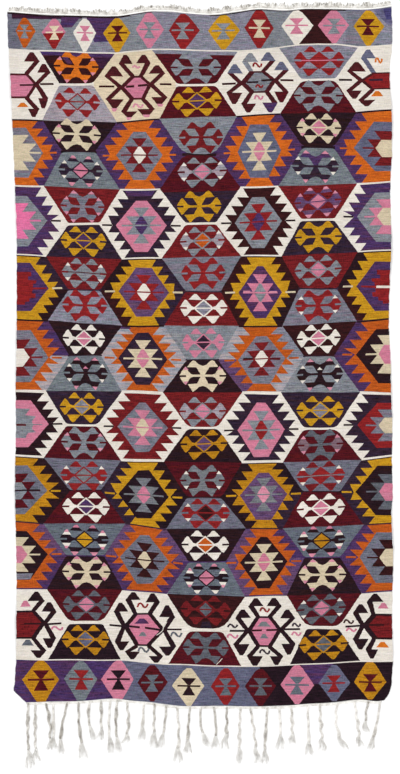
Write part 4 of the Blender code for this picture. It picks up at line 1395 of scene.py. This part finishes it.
def ply_path(n, k, lock, at, brush):
    """A ply of a strand, wound, with slubs, perhaps a loose place, and a knot before its hairs."""
    pitch = WIND_PITCH * vary(n, 5, *WIND_PITCH_RANGE)
    split = vary(n, 15, *LOOSE_PLACE) if spread(n, 16) < LOOSE_SHARE else NOWHERE
    t = np.linspace(0.0, brush, int(lock["length"] * brush / STRAND_STEP))
    across, along = at(t)
    phase = 2 * math.pi * (k / PLIES + t * lock["length"] / pitch + spread(n, 6))
    loose = 1.0 + LOOSE[0] * np.exp(-((t - split) / LOOSE[1]) ** 2)
    knot = KNOT[0] * np.exp(-((t - brush + KNOT[1]) / KNOT[2]) ** 2)
    x = across + WIND_RADIUS * loose * np.sin(phase)
    slub = 1 + SLUBS[1] * np.sin(2 * math.pi * (SLUBS[0] * t + spread(10 * n + k, 17)))
    thick = STRAND_RADIUS * (slub - SLUBS[2] + knot)
    z = thick + WIND_RADIUS * FLATTER * (1 + np.cos(phase))
    return np.column_stack([x, along, z, thick])


def hair_path(code, end, lock, at, brush):
    """A hair from the end of a ply, fanned out to the lock's tip width and down on the floor."""
    u = np.linspace(0.0, 1.0, HAIR_STEPS)
    least, reach = HAIR_REACH
    reach = brush + (1 - brush) * (least + reach * spread(code, 7) ** HAIR_REACH_POWER)
    line_x, line_y = at(brush + (reach - brush) * u)
    side = swing(code, 8) * 2.0 * lock["tip"]
    wave = HAIR_WAVE[0] * np.sin(2 * math.pi * (HAIR_WAVE[1] * u + spread(code, 9)))
    wave -= wave[0]
    x = line_x + (end[0] - line_x[0]) * (1 - u) + side * u ** HAIR_FAN + wave * u
    floor_z = vary(code, 10, HAIR_RADIUS, HAIR_RISE)
    z = end[2] + (floor_z - end[2]) * np.minimum(1, HAIR_DOWN * u)
    return np.column_stack([x, line_y, z, HAIR_RADIUS * (1 - HAIR_TAPER * u)])


def root_path(k, lock, at, start, drop):
    """A warp that gathers into the top of a lock."""
    u = np.linspace(0.0, 1.0, ROOT_STEPS)
    from_x = lock["root"] + ROOT_REACH[0] * (2 * (k + 0.5) / ROOT_THREADS - 1)
    to_x, _ = at(np.array([drop / lock["length"]]))
    x = from_x + (to_x[0] - from_x) * (1 - (1 - u) ** ROOT_CURVE)
    return np.column_stack([x, start + ROOT_OVER - drop * u, ROOT_HEIGHTS[0] + ROOT_HEIGHTS[1] * u,
                            np.full_like(u, ROOT_RADIUS)])


def low_fringe_paths():
    strands, hairs = [], []
    for n, lock in enumerate(LOW_LOCKS):
        start = float(low_edge(np.array([lock["root"]]))[0]) - PART_GAP - LOCK_DROP
        at = lock_line(lock, start, n)
        brush = vary(n, 14, *BRUSH_START)
        for k in range(PLIES):
            strands.append(ply_path(n, k, lock, at, brush))
            hairs += [hair_path(n * 100 + k * 10 + h, strands[-1][-1], lock, at, brush)
                      for h in range(HAIRS)]
        drop = ROOT_REACH[1] * vary(n, 18, *ROOT_DROP_RANGE)
        hairs += [root_path(k, lock, at, start, drop) for k in range(ROOT_THREADS)]
    return strands, hairs


def cord_paths(edge, ends, side, away, radius, pitch, step, plies, turn, thick):
    across = np.linspace(*ends, int((ends[1] - ends[0]) / step))
    along = edge(across) + side * (PART_GAP + away)
    paths = []
    for k in range(plies):
        phase = 2 * math.pi * (k / plies + across / pitch) + turn
        y = along + radius * np.sin(phase)
        z = thick + radius * FLATTER * (1 + np.cos(phase))
        paths.append(np.column_stack([across, y, z, np.full_like(across, thick)]))
    return paths


def high_fringe_paths():
    strands = []
    pitch = (TUFTS_TO - TUFTS_FROM) / TUFTS
    for n in range(TUFTS):
        root = TUFTS_FROM + pitch * (n + 0.5 + TUFT_STRAY * swing(n, 1))
        tall = vary(n, 2, *TUFT_TALL)
        lean = TUFT_LEAN * swing(n, 3)
        for k in range(TUFT_ENDS):
            code = 20 * n + k
            share = 2 * (k + 0.5) / TUFT_ENDS - 1
            across = root + TUFT_HALF * share + END_SCATTER * swing(code, 4)
            start = float(high_edge(np.array([across]))[0]) + PART_GAP + TUFT_DROP
            length = min(tall * vary(code, 5, *END_LENGTH), HIGH_REACH - start)
            run = lean + END_FAN * share + END_STRAY * swing(code, 6)
            u = np.linspace(0.0, 1.0, END_STEPS)
            bend = END_BEND * swing(code, 7) * np.sin(2 * math.pi * u)
            x = np.clip(across + run * u * u + bend, TUFTS_FROM - TUFTS_PAST[0],
                        TUFTS_TO + TUFTS_PAST[1])
            rise = END_RISE * spread(code, 8) * np.sin(math.pi * np.minimum(1.0, 1.1 * u))
            strands.append(np.column_stack([x, start + length * u, END_RADIUS + rise,
                                            END_RADIUS * (1 - END_TAPER * u)]))
    return strands


# ---------------------------------------------------------------------------------------------
# Materials

# Noises: scale for all axes or for each, detail, roughness
LOTS = ((8.0, 120.0, 1.0), 5.0, 0.7)
PICKS = ((34.0, 340.0, 1.0), 2.0, 0.6)
WARPS = ((330.0, 70.0, 1.0), 2.0, 0.6)
HEATHER = ((260.0, 400.0, 1.0), 2.0, 0.6)
WEAR = (7.0, 4.0, 0.6)
SOIL = (70.0, 5.0, 0.6)
FIBRES = (650.0, 3.0, 0.6)

LOTS_RANGE = (0.38, 0.60, 0.0, 0.9)  # from and to which noise, and the least and most it gives
WEAR_RANGE = (0.3, 0.7, 0.93, 1.08)
WOOL_ROUGHNESS = (0.0, 1.0, 0.82, 0.97)
COTTON_ROUGHNESS = (0.0, 1.0, 0.80, 0.96)
PICKS_DEPTH, WARPS_DEPTH, HEATHER_DEPTH, HEATHER_TINT = 2.3, 0.9, 1.0, 0.8
FIBRES_DEPTH = 0.5
WARP_PITCH, WEFT_PITCH = 0.0030, 0.0011
WEFT_SHARE, FUZZ_SHARE = 0.45, 1.8   # in the relief, beside the warps' ribs
COTTON_SHADES = ((0.24, (138, 132, 124)), (0.85, (247, 246, 242)), (0.44, (192, 188, 181)),
                 (0.62, (226, 223, 218)))


def feed(tree, made, inputs):
    """Gives a node's inputs, by name or number, a value each or another node's output."""
    for name, value in inputs.items():
        if isinstance(value, bpy.types.NodeSocket):
            tree.links.new(value, made.inputs[name])
        else:
            made.inputs[name].default_value = value


def node(tree, kind, inputs=None, **settings):
    made = tree.nodes.new(kind)
    for name, value in settings.items():
        setattr(made, name, value)
    feed(tree, made, inputs or {})
    return made


def noise(tree, place, stretch, detail, roughness):
    """A noise with one scale for all axes, or one for each."""
    if isinstance(stretch, tuple):
        place = node(tree, "ShaderNodeMapping", {"Vector": place, "Scale": stretch}).outputs[0]
        stretch = 1.0
    return node(tree, "ShaderNodeTexNoise", {"Vector": place, "Scale": stretch, "Detail": detail,
                                             "Roughness": roughness}).outputs


def map_range(tree, *values):
    names = ("Value", "From Min", "From Max", "To Min", "To Max")
    return node(tree, "ShaderNodeMapRange", dict(zip(names, values))).outputs["Result"]


def numbers(tree, operation, *values):
    made = node(tree, "ShaderNodeMath", dict(enumerate(values)), operation=operation)
    return made.outputs[0]


def vectors(tree, operation, *values):
    """The result of an operation on vectors. A single number is taken for all three axes."""
    values = [(value,) * 3 if isinstance(value, float) else value for value in values]
    made = node(tree, "ShaderNodeVectorMath", dict(enumerate(values)), operation=operation)
    return made.outputs["Vector"]


def scaled(tree, vector, scale):
    made = node(tree, "ShaderNodeVectorMath", {0: vector, "Scale": scale}, operation="SCALE")
    return made.outputs["Vector"]


def offset(tree, source, strength):
    """A noise as strength times its distance from its middle."""
    return vectors(tree, "MULTIPLY_ADD", source, strength, -strength / 2)


def named(tree, attribute):
    return node(tree, "ShaderNodeAttribute", attribute_name=attribute).outputs


def new_material(name, inputs):
    material = bpy.data.materials.new(name)
    material.use_nodes = True
    tree = material.node_tree
    shader = tree.nodes["Principled BSDF"]
    feed(tree, shader, inputs)
    return material, tree, shader


def wool_material():
    material, tree, shader = new_material("kilim_wool", {
        "Specular IOR Level": 0.08, "Sheen Weight": 0.02, "Sheen Roughness": 0.6})
    place = node(tree, "ShaderNodeTexCoord").outputs["Object"]
    yarn, streak = named(tree, "yarn"), named(tree, "streak")

    # dye lots: long streaks along the weft, from the yarn's own colour to its second one
    lots = noise(tree, place, *LOTS)
    mix = node(tree, "ShaderNodeMix", data_type="RGBA")
    feed(tree, mix, {"Factor": map_range(tree, lots["Fac"], *LOTS_RANGE)})
    colours = [socket for socket in mix.inputs if socket.type == "RGBA"]
    for source, colour in zip((yarn, streak), colours):
        tree.links.new(source["Color"], colour)
    mixed = next(socket for socket in mix.outputs if socket.type == "RGBA")

    # single picks, heathered fibres and worn patches shade it
    picks = noise(tree, place, *PICKS)
    warps = noise(tree, place, *WARPS)
    heather = noise(tree, place, *HEATHER)
    wear = noise(tree, place, *WEAR)
    uneven = offset(tree, picks["Fac"], PICKS_DEPTH)
    for source, strength in ((warps["Fac"], WARPS_DEPTH), (heather["Fac"], HEATHER_DEPTH),
                             (heather["Color"], HEATHER_TINT)):
        uneven = vectors(tree, "ADD", offset(tree, source, strength), uneven)
    depth = vectors(tree, "ADD", scaled(tree, uneven, streak["Alpha"]), 1.0)
    toned = scaled(tree, vectors(tree, "MULTIPLY", mixed, depth),
                   map_range(tree, wear["Fac"], *WEAR_RANGE))

    # ribs over the warps, crossed by the weft, under the fibres' fuzz
    split = node(tree, "ShaderNodeSeparateXYZ", {0: place})
    across, along = (
        numbers(tree, "SINE", numbers(tree, "MULTIPLY", split.outputs[axis], 2 * math.pi / pitch))
        for axis, pitch in (("X", WARP_PITCH), ("Y", WEFT_PITCH)))
    ribs = numbers(tree, "MULTIPLY_ADD", along, WEFT_SHARE, across)
    fuzz = numbers(tree, "MULTIPLY_ADD", heather["Fac"], FUZZ_SHARE, ribs)
    bump = node(tree, "ShaderNodeBump", {"Strength": 0.6, "Distance": 0.0006, "Height": fuzz})
    feed(tree, shader, {"Base Color": toned, "Normal": bump.outputs["Normal"],
                        "Roughness": map_range(tree, heather["Fac"], *WOOL_ROUGHNESS)})
    return material


def cotton_material():
    material, tree, shader = new_material("warp_cotton", {
        "Specular IOR Level": 0.15, "Sheen Weight": 0.10})
    place = node(tree, "ShaderNodeTexCoord").outputs["Object"]
    patches = noise(tree, place, *SOIL)
    shade = numbers(tree, "ADD", patches["Fac"], named(tree, "tone")["Fac"])
    ramp = node(tree, "ShaderNodeValToRGB", {"Fac": shade})
    for k, (position, colour) in enumerate(COTTON_SHADES):
        stop = ramp.color_ramp.elements[k] if k < 2 else ramp.color_ramp.elements.new(position)
        stop.position = position
        stop.color = (*linear(colour), 1.0)
    fibres = noise(tree, place, *FIBRES)
    depth = vectors(tree, "ADD", offset(tree, fibres["Fac"], FIBRES_DEPTH), 1.0)
    bump = node(tree, "ShaderNodeBump", {"Strength": 0.5, "Distance": 0.0005,
                                         "Height": fibres["Fac"]})
    feed(tree, shader, {"Base Color": vectors(tree, "MULTIPLY", ramp.outputs["Color"], depth),
                        "Normal": bump.outputs["Normal"],
                        "Roughness": map_range(tree, fibres["Fac"], *COTTON_ROUGHNESS)})
    return material


# ---------------------------------------------------------------------------------------------
# The scene

FLOOR_HALF = 40.0
CAMERA_HEIGHT = 9.0
SENSOR_WIDE = 36.0
CAMERA_REACH = 60.0
PICTURE_MIDDLE = (200.05, 386.75)    # on the chart
LIGHTS = (("light_left", (-3.6, 1.6, 4.6), 1.05), ("light_right", (3.6, 0.8, 4.6), 0.65))
LIGHT_ANGLE = 35
SKY_STRENGTH = 0.88
PALE = (0.90, 0.90, 0.90, 1.0)


def joined(objects, name):
    for obj in bpy.context.selected_objects:
        obj.select_set(False)
    for obj in objects:
        obj.select_set(True)
    bpy.context.view_layer.objects.active = objects[0]
    bpy.ops.object.join()
    objects[0].name = name
    return objects[0]


def make_floor():
    half = FLOOR_HALF
    mesh = bpy.data.meshes.new("floor")
    mesh.from_pydata([(-half, -half, 0), (half, -half, 0), (half, half, 0), (-half, half, 0)], [],
                     [(0, 1, 2, 3)])
    material, _, _ = new_material("floor", {"Base Color": PALE, "Roughness": 0.9})
    obj = add_object("floor", mesh, material)


def soft_light(name, toward, strength):
    """A wide, even light, as large softboxes far off give."""
    data = bpy.data.lights.new(name, "SUN")
    data.energy = strength
    data.angle = math.radians(LIGHT_ANGLE)
    obj = add_object(name, data)
    obj.location = toward
    obj.rotation_mode = "QUATERNION"
    obj.rotation_quaternion = Vector(toward).to_track_quat("Z", "Y")


def make_camera():
    data = bpy.data.cameras.new("camera")
    data.sensor_fit = "AUTO"
    data.sensor_width = SENSOR_WIDE
    data.lens = SENSOR_WIDE * CAMERA_HEIGHT / (CHART_SIZE[1] * CHART_UNIT)
    data.clip_end = CAMERA_REACH
    obj = add_object("camera", data)
    obj.location = (*to_rug(*PICTURE_MIDDLE), CAMERA_HEIGHT)
    bpy.context.scene.camera = obj


def main():
    wool, cotton = wool_material(), cotton_material()
    rug = make_rug(wool)

    strands, hairs = low_fringe_paths()
    low_cords = [path for cord in LOW_CORDS
                 for path in cord_paths(low_edge, LOW_CORD_ENDS, -1, *cord)]
    low = joined([tube(strands, 6, "low_strands", cotton, uneven=0.24, group=PLIES),
                  # The hairs and the warps at each lock's top get a lighter tone. This is partly the
                  # whiter cotton of the brushed ends and partly painted light that offsets the shade
                  # the thin hairs cast on each other.
                  tube(hairs, 3, "low_hairs", cotton, tone=0.20, uneven=0.10),
                  tube(low_cords, 6, "low_cords", cotton, tone=0.18)], "fringe_low_cords")

    high_cord = cord_paths(high_edge, HIGH_CORD_ENDS, 1, *HIGH_CORD)
    braid = cord_paths(high_edge, HIGH_BRAID_ENDS, 1, *HIGH_BRAID)
    # The tufts' ends vary widely in tone. The darker ones are partly painted shade standing for the
    # shadow in the gaps between tufts, and partly darker ends of the cut warp.
    high = joined([tube(high_fringe_paths(), 4, "high_ends", cotton, tone=0.05, uneven=0.50),
                   tube(braid, 5, "high_braid", cotton, tone=0.05),
                   tube(high_cord, 6, "high_cord", cotton, tone=0.35)], "fringe_high_ends")

    for piece, slot_name, cad_node in ((rug, "kilim_wool", "kilim_field"),
                                       (low, "warp_cotton", "fringe_bottom"),
                                       (high, "warp_cotton", "fringe_top")):
        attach(piece, "root")
        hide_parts(cad_node)

    make_floor()
    for light in LIGHTS:
        soft_light(*light)
    world = bpy.data.worlds.new("studio")
    world.use_nodes = True
    feed(world.node_tree, world.node_tree.nodes["Background"],
         {"Color": (1.0, 1.0, 1.0, 1.0), "Strength": SKY_STRENGTH})
    bpy.context.scene.world = world
    make_camera()
    bpy.context.scene.view_settings.view_transform = "Standard"

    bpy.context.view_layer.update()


main()
